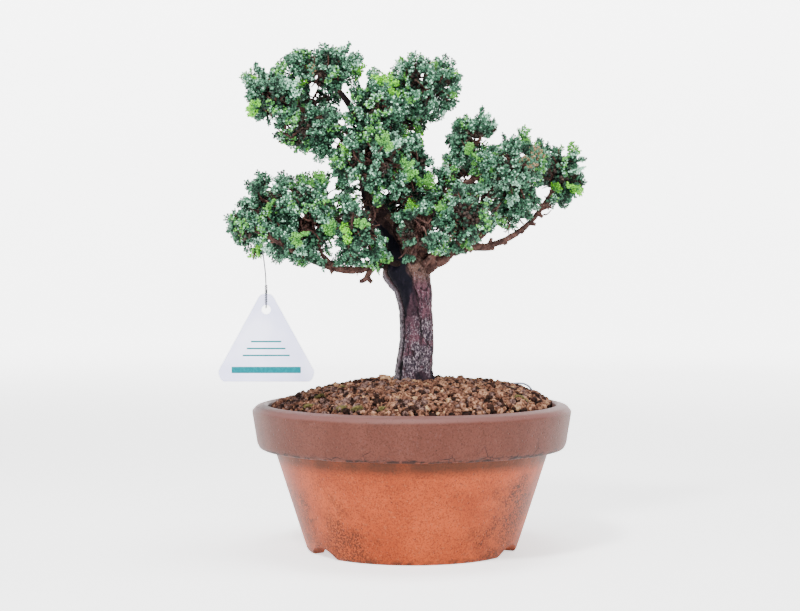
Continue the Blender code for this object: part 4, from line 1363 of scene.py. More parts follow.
@dataclass
class Timber:
    """The trunk and the boughs as barked bodies.

    Attributes:
        ring_gap: Distance between a bough's rings.
        scar_place: The middle of the black scar, where the boughs are dark too.
    """

    trunk_sides: int = 120
    trunk_rings: int = 330
    bough_sides: int = 20
    ring_gap: float = 0.8
    scar_place: tuple = (-14.0, -8.0, 217.0)
    flare_ridges: int = 5
    flare_depth: float = 0.06
    # Lines down the trunk as (height, degrees from the left margin through the front to the right one).
    margin_crack: tuple = ((126, 37), (140, 35), (155, 34), (178, 38), (189, 36), (212, 32), (230, 36))
    middle_crack: tuple = ((126, 112), (146, 110), (159, 108), (170, 103), (182, 99), (199, 95), (240, 102))
    right_crack: tuple = ((126, 160), (140, 158), (180, 156), (212, 146), (240, 140))
    # How many degrees of smooth black scar there are to the right of the margin crack, by height.
    scar_width: tuple = ((126, 4), (170, 6), (184, 22), (194, 52), (212, 64), (230, 60), (250, 20))

    def build(self) -> None:
        """Makes the trunk and every bough."""
        self.build_trunk()
        twig_bark = TwigBark().material()
        for limb in BOUGHS:
            self.build_bough(limb, twig_bark)

    def build_trunk(self) -> None:
        """The trunk, with its furrows, its cracks, its scar and painted shade beside the scar."""
        places, radii = evenly(*limb_points(TRUNK, 24), self.trunk_rings + 1)
        tube = TubeShape(self.trunk_sides, self.trunk_rings)
        angles = np.degrees(np.arctan2(tube.around[:, 1], tube.around[:, 0])) % 360.0
        marks = np.array([
            self.trunk_marks(angle, Vector(places[ring]), float(radii[ring]), ring / self.trunk_rings)
            for angle, ring in zip(angles, tube.ring)
        ])
        batch = Batch().lay(tube, places[None], radii[None], marks[None, :, 0])
        piece = batch.piece("bark_trunk", OldBark().material())
        for column, name in enumerate(("fissure", "charred_and_shaded", "weathered", "margin"), start=1):
            write_attribute(piece, name, marks[:, column])
        settle(piece, ["trunk"])

    def trunk_marks(self, angle: float, centre: Vector, radius: float, share: float) -> tuple[float, ...]:
        """The trunk's relief in millimetres, and its shares of fissure, scar with painted shade, weathering
        and grey margin.

        Args:
            angle: The point's angle round the trunk, in degrees from its left.
            centre: The trunk's middle there.
            radius: Its radius there.
            share: How far up the trunk that is, from 0 to 1.

        Returns:
            The relief, then the four shares from 0 to 1.
        """
        height = centre.z
        turn = math.radians(angle)
        place = centre + Vector((-math.cos(turn), -math.sin(turn), 0.0)) * radius
        wander = 3.5 * noise.noise(place * 0.09) + 2.0 * noise.noise(place * 0.3)
        ridge = 1.0 + self.flare_depth * (0.35 + 0.65 * max(0.0, 1.0 - 5.0 * share)) * math.sin(
            self.flare_ridges * turn + 9.0 * share)
        relief = radius * (ridge - 1.0)
        margin = angle + wander - interpolate(self.margin_crack, height)
        middle = angle + 1.6 * wander - interpolate(self.middle_crack, height)
        right = angle + wander - interpolate(self.right_crack, height)
        width = interpolate(self.scar_width, height)
        rough = 8.0 * noise.noise(place * 0.16)
        charred_and_shaded = step(margin + rough, -2.0, 3.0) * step(margin + rough, width + 4.0, width - 4.0)
        charred_and_shaded = max(charred_and_shaded, 0.8 * step(height + rough, 137.0, 130.0) * step(angle, 76.0, 96.0)
                      * step(angle, 200.0, 170.0))
        # Painted shade: the bark between the margin crack and the middle crack darkens like the scar from
        # about 150 mm up.
        painted_shade = step(margin, 0.0, 6.0) * step(middle, 4.0, -3.0) * step(height + rough, 148.0, 186.0)
        charred_and_shaded = max(charred_and_shaded, 0.62 * painted_shade)
        charred_and_shaded = max(charred_and_shaded, 0.8 * step(height, 222.0, 236.0) * step(noise.noise(place * 0.12), 0.22, 0.05))
        weathered = 0.9 * step(height + 2.5 * rough, 184.0, 158.0) * (1.0 - charred_and_shaded)
        grey = step(margin, -70.0, -55.0) * step(margin, -5.0, -9.0) * step(height, 220.0, 206.0)
        stretched = Vector((place.x * 0.26, place.y * 0.26, place.z * 0.075))
        deep = abs(noise.noise(stretched))
        fine = abs(noise.noise(stretched * 2.9 + Vector((9.0, 2.0, 5.0))))
        furrow = step(deep, 0.075, 0.015) * (1.0 - 0.8 * charred_and_shaded)
        hairline = step(fine, 0.10, 0.02) * (1.0 - 0.7 * charred_and_shaded)
        cracks = max(step(abs(margin), 7.5, 4.0), 0.8 * step(abs(right), 4.0, 1.5),
                     0.75 * step(abs(middle), 4.5, 1.5) * step(height, 136.0, 172.0))
        cracks *= step(height, 246.0, 232.0)
        relief -= 1.15 * furrow + 0.4 * hairline + 2.0 * cracks + 0.5 * charred_and_shaded
        relief += 0.5 * (1.0 - charred_and_shaded) * noise.noise(place * 0.22) + 0.22 * noise.noise(place * 0.7)
        fissure = min(1.0, 0.75 * furrow + 0.45 * hairline + cracks)
        return relief, fissure, charred_and_shaded, weathered, grey

    def build_bough(self, limb: Limb, finish: Finish) -> None:
        """One bough with its knobs and furrows.

        Args:
            limb: The bough.
            finish: Its bark.
        """
        path, widths = limb_points(limb, 12)
        length = sum((second - first).length for first, second in zip(path, path[1:]))
        rings = max(6, round(length / self.ring_gap))
        places, radii = evenly(path, widths, rings + 1)
        tube = TubeShape(self.bough_sides, rings)
        marks = np.array([self.bough_marks(tube.around[index], Vector(places[ring]), float(radii[ring]))
                          for index, ring in enumerate(tube.ring)])
        batch = Batch().lay(tube, places[None], radii[None], marks[None, :, 0])
        piece = batch.piece(limb.name.replace("bough", "bark"), finish)
        write_attribute(piece, "fissure", marks[:, 1])
        settle(piece, [limb.name])

    def bough_marks(self, around: Array, centre: Vector, radius: float) -> tuple[float, float]:
        """A bough's relief in millimetres and its share of fissure.

        Args:
            around: The point's way from the middle.
            centre: The bough's middle there.
            radius: Its radius there.

        Returns:
            The relief and the share.
        """
        place = centre + Vector((around[0], around[1], 0.3 * around[0])) * radius
        furrow = step(abs(noise.noise(place * 0.55)), 0.09, 0.02)
        knob = noise.noise(place * 0.3) + 0.5 * noise.noise(place * 0.85)
        dark = 0.85 * step((place - Vector(self.scar_place)).length, 26.0, 14.0)
        return 0.22 * radius * knob - 0.16 * radius * furrow, max(0.7 * furrow, dark)


def step(value: float, low: float, high: float) -> float:
    """A soft step from 0 at low to 1 at high, whichever of them is the greater."""
    share = min(1.0, max(0.0, (value - low) / (high - low)))
    return share * share * (3.0 - 2.0 * share)


def interpolate(table: Sequence[tuple[float, float]], key: float) -> float:
    """A value read from a table of (key, value) with straight lines between its rows."""
    return float(np.interp(key, [row[0] for row in table], [row[1] for row in table]))


def evenly(places: Sequence[Vector], values: Sequence[float], count: int) -> tuple[Array, Array]:
    """Points at even distances along a way, with the value at each.

    Args:
        places: The way's points.
        values: One value at each of them.
        count: How many points to return.

    Returns:
        The points as (count, 3) and the values as (count,).
    """
    points = np.array([tuple(place) for place in places])
    along = np.concatenate(([0.0], np.cumsum(np.linalg.norm(np.diff(points, axis=0), axis=1))))
    wanted = np.linspace(0.0, along[-1], count)
    return (np.stack([np.interp(wanted, along, points[:, axis]) for axis in range(3)], axis=1),
            np.interp(wanted, along, np.array(values)))


def write_attribute(piece: Piece, name: str, values: Array) -> None:
    """Keeps one value at each point of a piece's mesh, for its finish to read."""
    attribute = piece.data.attributes.new(name, "FLOAT", "POINT")
    attribute.data.foreach_set("value", np.clip(values, 0.0, 1.0).astype(np.float32))


class Thicket:
    """The space of the crown: which mass owns a place, where the limbs are and where the sky shows."""

    most_at_once: int = 4000

    def __init__(self) -> None:
        """Reads the tables into arrays."""
        self.centres = np.array([mass.centre for mass in MASSES], float)
        self.halves = np.array([mass.half for mass in MASSES], float)
        places, radii = [], []
        for limb in (TRUNK, *BOUGHS):
            path, widths = limb_points(limb, 8)
            places += [tuple(place) for place in path]
            radii += widths
        self.limb_places = np.array(places)
        self.limb_radii = np.array(radii)
        gaps = np.array([(gap.x, gap.z, gap.half_x, gap.half_z, gap.front) for gap in (*OPENINGS, *HOLLOWS)])
        self.gap_middles, self.gap_halves, self.fronts = gaps[:, :2], gaps[:, 2:4], gaps[:, 4]

    def shares(self, points: Array) -> Array:
        """How far out each point is in each mass: 0 at the middle and 1 at the surface."""
        return np.linalg.norm((points[:, None] - self.centres[None]) / self.halves[None], axis=2)

    def is_own(self, points: Array, index: int, margin: float, reach: float = 1.01) -> Array:
        """Whether each point is in a mass, and further out in every other one by a margin.

        Args:
            points: The points.
            index: The mass's number.
            margin: By how much.
            reach: How far out of its middle the mass goes.

        Returns:
            Whether each one is.
        """
        shares = self.shares(points)
        own = shares[:, index].copy()
        shares[:, index] = np.inf
        return (own <= reach) & (shares.min(axis=1) - own >= margin)

    def free_reach(self, index: int, headings: Array) -> Array:
        """How far a mass may reach along each heading, as a share of its half size.

        Args:
            index: The mass's number.
            headings: Unit vectors.

        Returns:
            The reach along each heading.
        """
        reach = np.zeros(len(headings))
        growing = np.ones(len(headings), bool)
        for share in np.arange(0.04, 1.001, 0.04):
            points = self.centres[index] + headings * self.halves[index] * share
            growing &= self.is_own(points, index, 0.0)
            reach[growing] = share
        return reach

    def limb_gap(self, points: Array) -> Array:
        """The distance from each point to the nearest bark.

        Args:
            points: The points.

        Returns:
            The distances.
        """
        gaps = np.empty(len(points))
        for start in range(0, len(points), self.most_at_once):
            part = slice(start, start + self.most_at_once)
            away = np.linalg.norm(points[part, None] - self.limb_places[None], axis=2) - self.limb_radii
            gaps[part] = away.min(axis=1)
        return gaps

    @staticmethod
    def seen_at(points: Array) -> Array:
        """Where each point is seen on the plane y = 0, as (x, z)."""
        way = points - EYE
        return (EYE + way * (-EYE[1] / way[:, 1:2]))[:, (0, 2)]

    def in_opening(self, points: Array, growth: float) -> Array:
        """Whether each point is seen in a gap or in front of a hollow, made larger or smaller by growth."""
        away = (self.seen_at(points)[:, None] - self.gap_middles) / (self.gap_halves * growth)
        return ((np.square(away).sum(axis=2) < 1.0) & (points[:, 1:2] < self.fronts)).any(axis=1)


def spiral_headings(count: int, turn: float) -> Array:
    """Unit vectors spread evenly about a point by the golden angle.

    Args:
        count: How many.
        turn: How far the first is turned, in radians.

    Returns:
        The vectors, as (count, 3).
    """
    index = np.arange(count)
    rise = 1.0 - 2.0 * (index + 0.5) / count
    flat = np.sqrt(1.0 - rise**2)
    angle = turn + GOLDEN_ANGLE * index
    return np.stack((rise, flat * np.cos(angle), flat * np.sin(angle)), axis=1)


def unit(vectors: Array) -> Array:
    """The vectors at length one."""
    return vectors / (np.linalg.norm(vectors, axis=-1, keepdims=True) + 1e-9)


def frames(ways: Array, rolls: Array) -> Array:
    """Right-handed frames whose third axis is the way, rolled about it, as (count, 3, 3) of columns.

    Args:
        ways: Unit vectors.
        rolls: The roll of each, in radians.

    Returns:
        The frames.
    """
    helper = np.where(np.abs(ways[:, 2:3]) < 0.9, np.array([[0.0, 0.0, 1.0]]), np.array([[1.0, 0.0, 0.0]]))
    side = unit(np.cross(helper, ways))
    up = np.cross(ways, side)
    side = side * np.cos(rolls)[:, None] + up * np.sin(rolls)[:, None]
    return np.stack((side, np.cross(ways, side), ways), axis=2)


class Plume:
    """A knobbly plume of scale leaves in its own frame: along +Z, and wider over X than over Y."""

    def __init__(self, leaf: Template, rng: np.random.Generator, coarse: bool = False) -> None:
        """Lays the leaves of one plume: an axis with short branchlets to its sides and its front.

        Args:
            leaf: The scale leaf.
            rng: The draws.
            coarse: Whether it has fewer and larger leaves, as a shaded plume does.
        """
        beads, tips = [], []
        joints = int(rng.integers(2, 4)) if coarse else int(rng.integers(5, 8))
        for joint in range(joints + 1):
            share = joint / joints
            place = np.array((0.3 * (-1) ** joint, 0.25 * share * share * joints, 1.4 * joint))
            lean = rng.normal(0.0, 0.12, 2)
            beads.append(self.bead(leaf, place, np.array((lean[0], lean[1], 1.0)), 1.0, rng))
            tips.append(share)
            if joint == joints or (joint == 0 and not coarse):
                continue
            for turn in (0.0, math.pi, math.pi / 2 if joint % 2 else -math.pi / 2):
                spread = math.radians(rng.uniform(42.0, 62.0))
                side = np.array((math.cos(turn), 0.8 * math.sin(turn), 0.0))
                way = side * math.sin(spread) + (0.0, rng.normal(0.0, 0.14), math.cos(spread))
                length = 2 if abs(side[0]) > 0.5 and 0 < joint < joints - 1 else 1
                for part in range(length):
                    start = place + way * (0.7 + 1.4 * part)
                    beads.append(self.bead(leaf, start, way + (0.0, 0.0, 0.3 * part), 0.95, rng))
                    tips.append(min(1.0, share * 0.8 + 0.3 * (part + 1)))
        self.points = np.array(beads) * (2.1 if coarse else 1.10)
        self.tips = np.array(tips)

    @staticmethod
    def bead(leaf: Template, place: Array, way: Array, scale: float,
             rng: np.random.Generator) -> Array:
        """The points of one scale leaf."""
        size = np.array(LEAF_SIZE) * scale * rng.uniform(0.82, 1.16)
        return (leaf.points * size) @ frames(unit(way)[None], rng.uniform(0.0, 0.5, 1))[0].T + place


@dataclass
class Crown:
    """All the foliage: stems, twigs, and tufts of leafy sprays, grown by the solids' rule.

    Attributes:
        tuft_area: How much of a mass's surface one tuft covers, in square millimetres.
        plumes: How many plumes a tuft has, and inner_plumes those of a shaded tuft.
        spread: How far the outer plumes of a tuft lean from its own way, in degrees.
        lift: How much the tufts turn upwards.
        lobe_depth: How deep a mass is drawn in between its lobes.
        bare_share: How many of the twigs bear no tuft.
        overlap: How far a mass's plumes may reach into its neighbours.
        plume_spare: How much larger than a gap the space is that plumes keep clear of.
        leaf_spare: The same for single leaves.
        patch_chance: How likely a tuft in a patch is to take its tint, and dry_chance that in a dry one.
    """

    tuft_area: float = 248.0
    tuft_radius: float = 9.5
    plumes: int = 4
    inner_plumes: int = 3
    spread: float = 62.0
    lift: float = 0.3
    main_share: int = 4
    lobe_size: float = 17.0
    lobe_depth: float = 0.34
    bare_share: float = 0.14
    twig_thick: float = 1.1
    twig_thin: float = 0.45
    stem_radius: float = 1.5
    least_reach: float = 0.3
    most_reach: float = 1.07
    overlap: float = 0.10
    plume_spare: float = 1.12
    leaf_spare: float = 0.92
    lowest_leaf: float = 200.0
    plume_middle: float = 5.2
    tuft_middle: float = 5.0
    patch_chance: float = 0.62
    dry_chance: float = 0.22
    thicket: Thicket = field(default_factory=Thicket)
    beads: dict[Tint, list[Array]] = field(default_factory=lambda: {tint: [] for tint in Tint})
    twigs: Batch = field(default_factory=Batch)

    def build(self) -> None:
        """Grows every mass and makes the pieces."""
        self.rng = np.random.default_rng(SEED)
        self.leaf = leaf_template()
        self.kinds = [Plume(self.leaf, self.rng) for _ in range(16)]
        self.inner_kinds = [Plume(self.leaf, self.rng, coarse=True) for _ in range(6)]
        self.twig_shape = TubeShape(4, 4)
        self.stem_shape = TubeShape(8, 6)
        self.numbers = {mass.name: number for number, mass in enumerate(MASSES)}
        for grow, rows in ((self.grow_mass, MASSES), (self.grow_shoot, SHOOTS), (self.grow_sprouts, SPROUTS),
                           (self.grow_tangle, TANGLES)):
            for row in rows:
                grow(row)
        for stub in STUBS:
            middle = np.add(stub.root, stub.tip) / 2 + self.rng.normal(0, 0.5, 3)
            way = np.array((stub.root, middle, stub.tip))
            self.add_ways(self.stem_shape, way[None], stub.thick, stub.thin)
        self.make_pieces()

    def make_pieces(self) -> None:
        """Joins the leaves of each tint into pieces, and the twigs into one."""
        most = MOST_TRIANGLES // len(self.leaf.faces)
        leafy = 0
        first = True
        for tint, groups in self.beads.items():
            beads = np.concatenate(groups)
            leafy += len(beads)
            finish = LEAVES[tint].material()
            for part, start in enumerate(range(0, len(beads), most), start=1):
                batch = Batch()
                batch.add(beads[start:start + most], self.leaf.faces)
                piece = batch.piece(f"leaves_{tint.value}_{part}", finish)
                settle(piece, [mass.name for mass in MASSES] if first else [])
                first = False
        settle(self.twigs.piece("twigs", TwigBark().material()))
        LOG.info("%d scale leaves", leafy)

    def stem_points(self, mass: Mass) -> Array:
        """The way from a mass's bearer to its middle.

        Args:
            mass: The mass.

        Returns:
            Three points of the way.
        """
        centre = np.array(mass.centre, float)
        places, radii = limb_points(LIMBS[mass.bearer], 4)
        points = np.array([tuple(place) for place in places])
        if mass.name == "foliage_upper_middle":
            nearest = int(np.argmin(np.linalg.norm(points - centre, axis=1)))
            start, gap = points[nearest], radii[nearest] * 0.5
        else:
            start, gap = points[-1], -1.0
        away = unit(centre - start)
        start = start + away * gap
        return np.array((start, start + away * 3.0, centre))

    def grow_mass(self, mass: Mass) -> None:
        """Grows one mass: its stem, its twigs by the golden spiral, and a tuft at the end of each.

        Args:
            mass: The mass.
        """
        rng = self.rng
        index = self.numbers[mass.name]
        centre, half = self.thicket.centres[index], self.thicket.halves[index]
        self.add_ways(self.stem_shape, self.stem_points(mass)[None], self.stem_radius, self.twig_thick)
        area = 4.0 * math.pi * float(np.prod(half)) ** (2.0 / 3.0)
        count = max(10, round(area / self.tuft_area))
        headings = unit(spiral_headings(count, 0.7 * index) + rng.normal(0.0, 0.12, (count, 3)))
        reach = self.thicket.free_reach(index, headings)
        kept = reach >= self.least_reach
        headings, reach = headings[kept], reach[kept]
        tips = centre + headings * half * reach[:, None]
        lobes = np.array([noise.noise(Vector(tip) / self.lobe_size) for tip in tips])
        reach = reach * np.clip(1.06 - self.lobe_depth * np.maximum(0.0, 0.12 - lobes), 0.5, 1.08)
        tips = centre + headings * half * (reach * rng.uniform(0.96, 1.06, len(reach)))[:, None]
        outward = unit(tips - centre)
        ends = tips - outward * self.tuft_radius
        roots = self.lay_twigs(centre, ends, outward)
        ways = unit(unit(ends - roots) * 0.4 + outward * 0.8 + (0.0, 0.0, self.lift))
        leafy = rng.random(len(ends)) > self.bare_share
        self.add_tufts(index, ends[leafy], ways[leafy], self.plumes,
                       rng.uniform(0.85, 1.15, int(leafy.sum())), False)
        inner = centre + (ends - centre) * rng.uniform(0.35, 0.7, (len(ends), 1))
        some = rng.random(len(inner)) < 0.55
        self.add_tufts(index, inner[some], outward[some], self.inner_plumes,
                       rng.uniform(0.8, 1.0, int(some.sum())), True)

    def lay_twigs(self, centre: Array, ends: Array, outward: Array) -> Array:
        """Lays the main twigs from the middle of a mass and the side twigs from them.

        Args:
            centre: The middle of the mass.
            ends: Where the twigs end.
            outward: The way outwards at each end.

        Returns:
            Where each twig starts.
        """
        rng = self.rng
        count = len(ends)
        main = np.arange(0, count, self.main_share)
        roots = np.empty_like(ends)
        roots[main] = centre + (ends[main] - centre) * 0.1
        others = np.setdiff1d(np.arange(count), main)
        nearest = main[np.argmax(outward[others] @ outward[main].T, axis=1)]
        roots[others] = centre + (ends[nearest] - centre) * rng.uniform(0.4, 0.72, (len(others), 1))
        for chosen, thick in ((main, self.twig_thick), (others, 0.75 * self.twig_thick)):
            start, stop = roots[chosen], ends[chosen]
            bend = rng.normal(0.0, 0.09, start.shape) * np.linalg.norm(stop - start, axis=1, keepdims=True)
            shares = np.linspace(0.0, 1.0, self.twig_shape.rings)[None, :, None]
            bow = 4.0 * shares * (1.0 - shares)
            ways = start[:, None] * (1 - shares) + stop[:, None] * shares + bend[:, None] * bow
            radii = thick + (self.twig_thin - thick) * shares[..., 0]
            self.twigs.lay(self.twig_shape, ways, np.repeat(radii, len(ways), axis=0))
        return roots

    def add_ways(self, shape: TubeShape, ways: Array, thick: float, thin: float) -> None:
        """Adds tapering tubes along smooth ways through the given points.

        Args:
            shape: The tube.
            ways: The points of each way, as (ways, points, 3).
            thick: The radius where a way starts.
            thin: The radius where it ends.
        """
        rows, radii = [], []
        for way in ways:
            path, widths = smooth_path(way, np.linspace(thick, thin, len(way)).tolist(), 6)
            places, sizes = evenly(path, widths, shape.rings)
            rows.append(places)
            radii.append(sizes)
        self.twigs.lay(shape, np.array(rows), np.array(radii))

    def grow_shoot(self, shoot: Shoot) -> None:
        """Grows a leafy shoot that stands out of its mass.

        Args:
            shoot: The shoot.
        """
        rng = self.rng
        index = self.numbers[shoot.mass]
        tip = np.array(shoot.tip, float)
        start = self.thicket.centres[index] * 0.6 + tip * 0.4
        way = unit(tip - start)
        bow = np.array((0.0, 0.0, -1.2)) + rng.normal(0.0, 0.8, 3)
        end = tip - way * 3.5
        self.add_ways(self.twig_shape, np.array((start, (start + end) / 2 + bow, end))[None], 0.8, 0.4)
        ends = np.array((tip - way * 9.6, tip - way * 13.0, tip - way * 18.0))
        ends += rng.normal(0.0, 1.2, ends.shape) * (0.2, 1.0, 1.0)
        ways = unit(way[None] + rng.normal(0.0, 0.2, ends.shape) + (0.0, 0.0, 0.15))
        sizes = np.array((0.85, 0.85, 0.9)) * shoot.girth
        self.add_tufts(index, ends, ways, 3, sizes, False, free=True, spread=34.0)

    def grow_sprouts(self, sprouting: Sprouting) -> None:
        """Grows short leafy side shoots along part of a bough.

        Args:
            sprouting: Where they grow, and how many.
        """
        rng = self.rng
        index = self.numbers[sprouting.mass]
        places, _ = evenly(*limb_points(LIMBS[sprouting.bough], 12), 200)
        last = len(places) - 1
        chosen = (np.linspace(sprouting.start, sprouting.stop, sprouting.count) * last).astype(int)
        ahead = unit(places[np.minimum(chosen + 2, last)] - places[np.maximum(chosen - 2, 0)])
        ways = unit(np.array(sprouting.way) + ahead * 0.5 + rng.normal(0.0, 0.5, ahead.shape))
        length = rng.uniform(0.35, 1.0, (len(chosen), 1)) * sprouting.length
        ends = places[chosen] + ways * length
        rows = [np.array((places[place], (places[place] + end) / 2 + rng.normal(0, 0.6, 3), end))
                for place, end in zip(chosen, ends)]
        self.add_ways(self.twig_shape, np.array(rows), 0.9, 0.5)
        self.add_tufts(index, ends, ways, 4, rng.uniform(0.8, 1.05, len(ends)), False, free=True)

    def grow_tangle(self, tangle: Tangle) -> None:
        """Grows thin bare twigs about a place.

        Args:
            tangle: The place.
        """
        rng = self.rng
        middle = np.array(tangle.place, float)
        starts = middle + rng.normal(0.0, 0.35, (tangle.count, 3)) * tangle.radius
        ways = unit(rng.normal(0.0, 1.0, starts.shape) + (0.0, -0.3, 0.5))
        length = rng.uniform(0.6, 1.3, (tangle.count, 1)) * tangle.radius
        bend = rng.normal(0.0, 0.16, starts.shape) * length
        rows = np.stack((starts, starts + ways * length * 0.5 + bend, starts + ways * length), axis=1)
        self.add_ways(self.twig_shape, rows, 0.75, 0.35)

    def add_tufts(self, index: int, ends: Array, ways: Array, plumes: int, sizes: Array,
                  inner: bool, free: bool = False, spread: float | None = None) -> None:
        """Adds tufts of plumes at the ends of twigs, each spread like the fingers of a hand.

        Args:
            index: The mass that they belong to.
            ends: The ends of the twigs, as (tufts, 3).
            ways: The way that each tuft faces.
            plumes: How many plumes each has.
            sizes: Their scale.
            inner: Whether they are shaded tufts inside the mass.
            free: Whether they may stand outside the mass.
            spread: How far the plumes lean from the tuft's way, if not as usual.
        """
        rng = self.rng
        tufts = len(ends)
        if not tufts:
            return
        tints = self.tuft_tints(ends + ways * self.tuft_middle, ways, inner)
        lean = np.linspace(-1.0, 1.0, plumes) * math.radians(spread or self.spread)
        lean = lean[None] + rng.normal(0.0, 0.14, (tufts, plumes))
        aside = rng.normal(0.0, 0.3, (tufts, plumes))
        local = np.stack((np.sin(lean), aside, np.cos(lean)), axis=2)
        base = frames(ways, rng.uniform(0.0, math.tau, tufts))
        out = unit(np.einsum("tij,tsj->tsi", base, local).reshape(-1, 3) + (0.0, 0.0, 0.1))
        sizes = np.repeat(sizes, plumes) * rng.uniform(0.8, 1.1, len(out))
        sizes *= 1.0 - 0.12 * np.abs(lean.ravel())
        tints = np.repeat(tints, plumes)
        roots = np.repeat(ends - ways, plumes, axis=0) + out * (0.5 * sizes[:, None])
        middles = roots + out * (self.plume_middle * sizes[:, None])
        kept = ~self.thicket.in_opening(middles, self.plume_spare) & (self.thicket.limb_gap(middles) > 1.0)
        if not free:
            kept &= self.thicket.is_own(middles, index, -self.overlap, self.most_reach)
        self.add_plumes(roots[kept], out[kept], sizes[kept], tints[kept],
                        self.inner_kinds if inner else self.kinds)

    def add_plumes(self, roots: Array, ways: Array, sizes: Array, tints: Array,
                   kinds: Sequence[Plume]) -> None:
        """Lays a plume of leaves along each way and deals its leaves their tints.

        Args:
            roots: Where the plumes start.
            ways: Where they point.
            sizes: Their scale.
            tints: Their tints, as places in Tint.
            kinds: The plumes to choose from.
        """
        rng = self.rng
        turns = frames(ways, rng.uniform(0.0, math.tau, len(ways)))
        choice = rng.integers(len(kinds), size=len(ways))
        for number, kind in enumerate(kinds):
            chosen = np.flatnonzero(choice == number)
            if not len(chosen):
                continue
            points = np.einsum("sij,bvj->sbvi", turns[chosen], kind.points) * sizes[chosen, None, None, None]
            points += roots[chosen, None, None]
            middles = points.mean(axis=2).reshape(-1, 3)
            clear = ~self.thicket.in_opening(middles, self.leaf_spare) & (middles[:, 2] > self.lowest_leaf)
            points = points.reshape(-1, *kind.points.shape[1:])
            tips = np.tile(kind.tips, len(chosen)) + rng.normal(0.0, 0.12, len(points))
            dealt = self.deal(np.repeat(tints[chosen], len(kind.tips)), tips)
            for value, tint in enumerate(Tint):
                self.beads[tint].append(points[clear & (dealt == value)])

    def deal(self, base: Array, tips: Array) -> Array:
        """The tint of each leaf, from its spray's tint and how near the spray's tip it is.

        Args:
            base: The tint of each leaf's spray.
            tips: How near the spray's tip each leaf is, from 0 to 1.

        Returns:
            The tint of each leaf.
        """
        chance = self.rng.random(len(base))
        dealt = base.copy()
        # Leaves nearer a plume's root take the darker tint of each pair, which for teal and green leaves is
        # the darkest green, painted shade.
        for tint, inside, outside, edge in (
            (Tint.DEEP_SHADE, Tint.DEEP_SHADE, Tint.TEAL, 0.8), (Tint.TEAL, Tint.DEEP_SHADE, Tint.TEAL, 0.42),
            (Tint.FROST_AND_HIGHLIGHT, Tint.TEAL, Tint.FROST_AND_HIGHLIGHT, 0.66), (Tint.GREEN, Tint.DEEP_SHADE, Tint.GREEN, 0.36),
            (Tint.FRESH, Tint.GREEN, Tint.FRESH, 0.5), (Tint.LIME, Tint.GREEN, Tint.LIME, 0.5),
            (Tint.DRY, Tint.DEAD_AND_SHADE, Tint.DRY, 0.3), (Tint.DEAD_AND_SHADE, Tint.DEAD_AND_SHADE, Tint.DEEP_SHADE, 0.9),
        ):
            chosen = base == tint.place
            dealt[chosen] = np.where(tips[chosen] > edge, outside.place, inside.place)
        teal, green, lime, dry = (base == tint.place for tint in (Tint.TEAL, Tint.GREEN, Tint.LIME, Tint.DRY))
        # Painted highlights: some tips of teal and green plumes turn pale, and one in five of their leaves at
        # random takes the darkest green as painted shade.
        for chosen, tint in (
            ((teal | green) & (tips > 0.55) & (chance < 0.22), Tint.FROST_AND_HIGHLIGHT),
            (green & (tips > 0.5) & (chance > 0.28) & (chance < 0.6), Tint.FRESH),
            (lime & (chance > 0.72), Tint.FRESH), (dry & (chance > 0.42), Tint.TEAL),
            ((teal | green) & (chance > 0.80), Tint.DEEP_SHADE),
        ):
            dealt[chosen] = tint.place
        return dealt

    def tuft_tints(self, points: Array, ways: Array, inner: bool) -> Array:
        """The tint of each tuft: by the patches on the front, by chance elsewhere, and in painted shade
        inside the masses and under them.

        Args:
            points: The middles of the tufts.
            ways: Where they face.
            inner: Whether they are shaded tufts.

        Returns:
            The tints, as places in Tint.
        """
        rng = self.rng
        # Painted shade: shaded tufts inside a mass take the darkest green or dark dead brown.
        if inner:
            return np.where(rng.random(len(points)) < 0.62, Tint.DEEP_SHADE.place, Tint.DEAD_AND_SHADE.place)
        weights = {Tint.DEEP_SHADE: 0.14, Tint.TEAL: 0.48, Tint.FROST_AND_HIGHLIGHT: 0.07, Tint.GREEN: 0.26, Tint.FRESH: 0.045,
                   Tint.DRY: 0.005}
        tints = rng.choice([tint.place for tint in weights], len(points), p=list(weights.values()))
        # Painted shade: most tufts that face down take the darkest green.
        tints[(ways[:, 2] < -0.45) & (rng.random(len(points)) < 0.6)] = Tint.DEEP_SHADE.place
        tints[(points[:, 1] > 12.0) & (rng.random(len(points)) < 0.05)] = Tint.LIME.place
        seen = self.thicket.seen_at(points)
        for patch in PATCHES:
            away = np.hypot(seen[:, 0] - patch.x, seen[:, 1] - patch.z)
            chance = self.dry_chance if patch.tint is Tint.DRY else self.patch_chance
            near = (away < patch.radius) & (ways[:, 1] < 0.45) & (rng.random(len(points)) < chance)
            tints[near] = patch.tint.place
        return tints


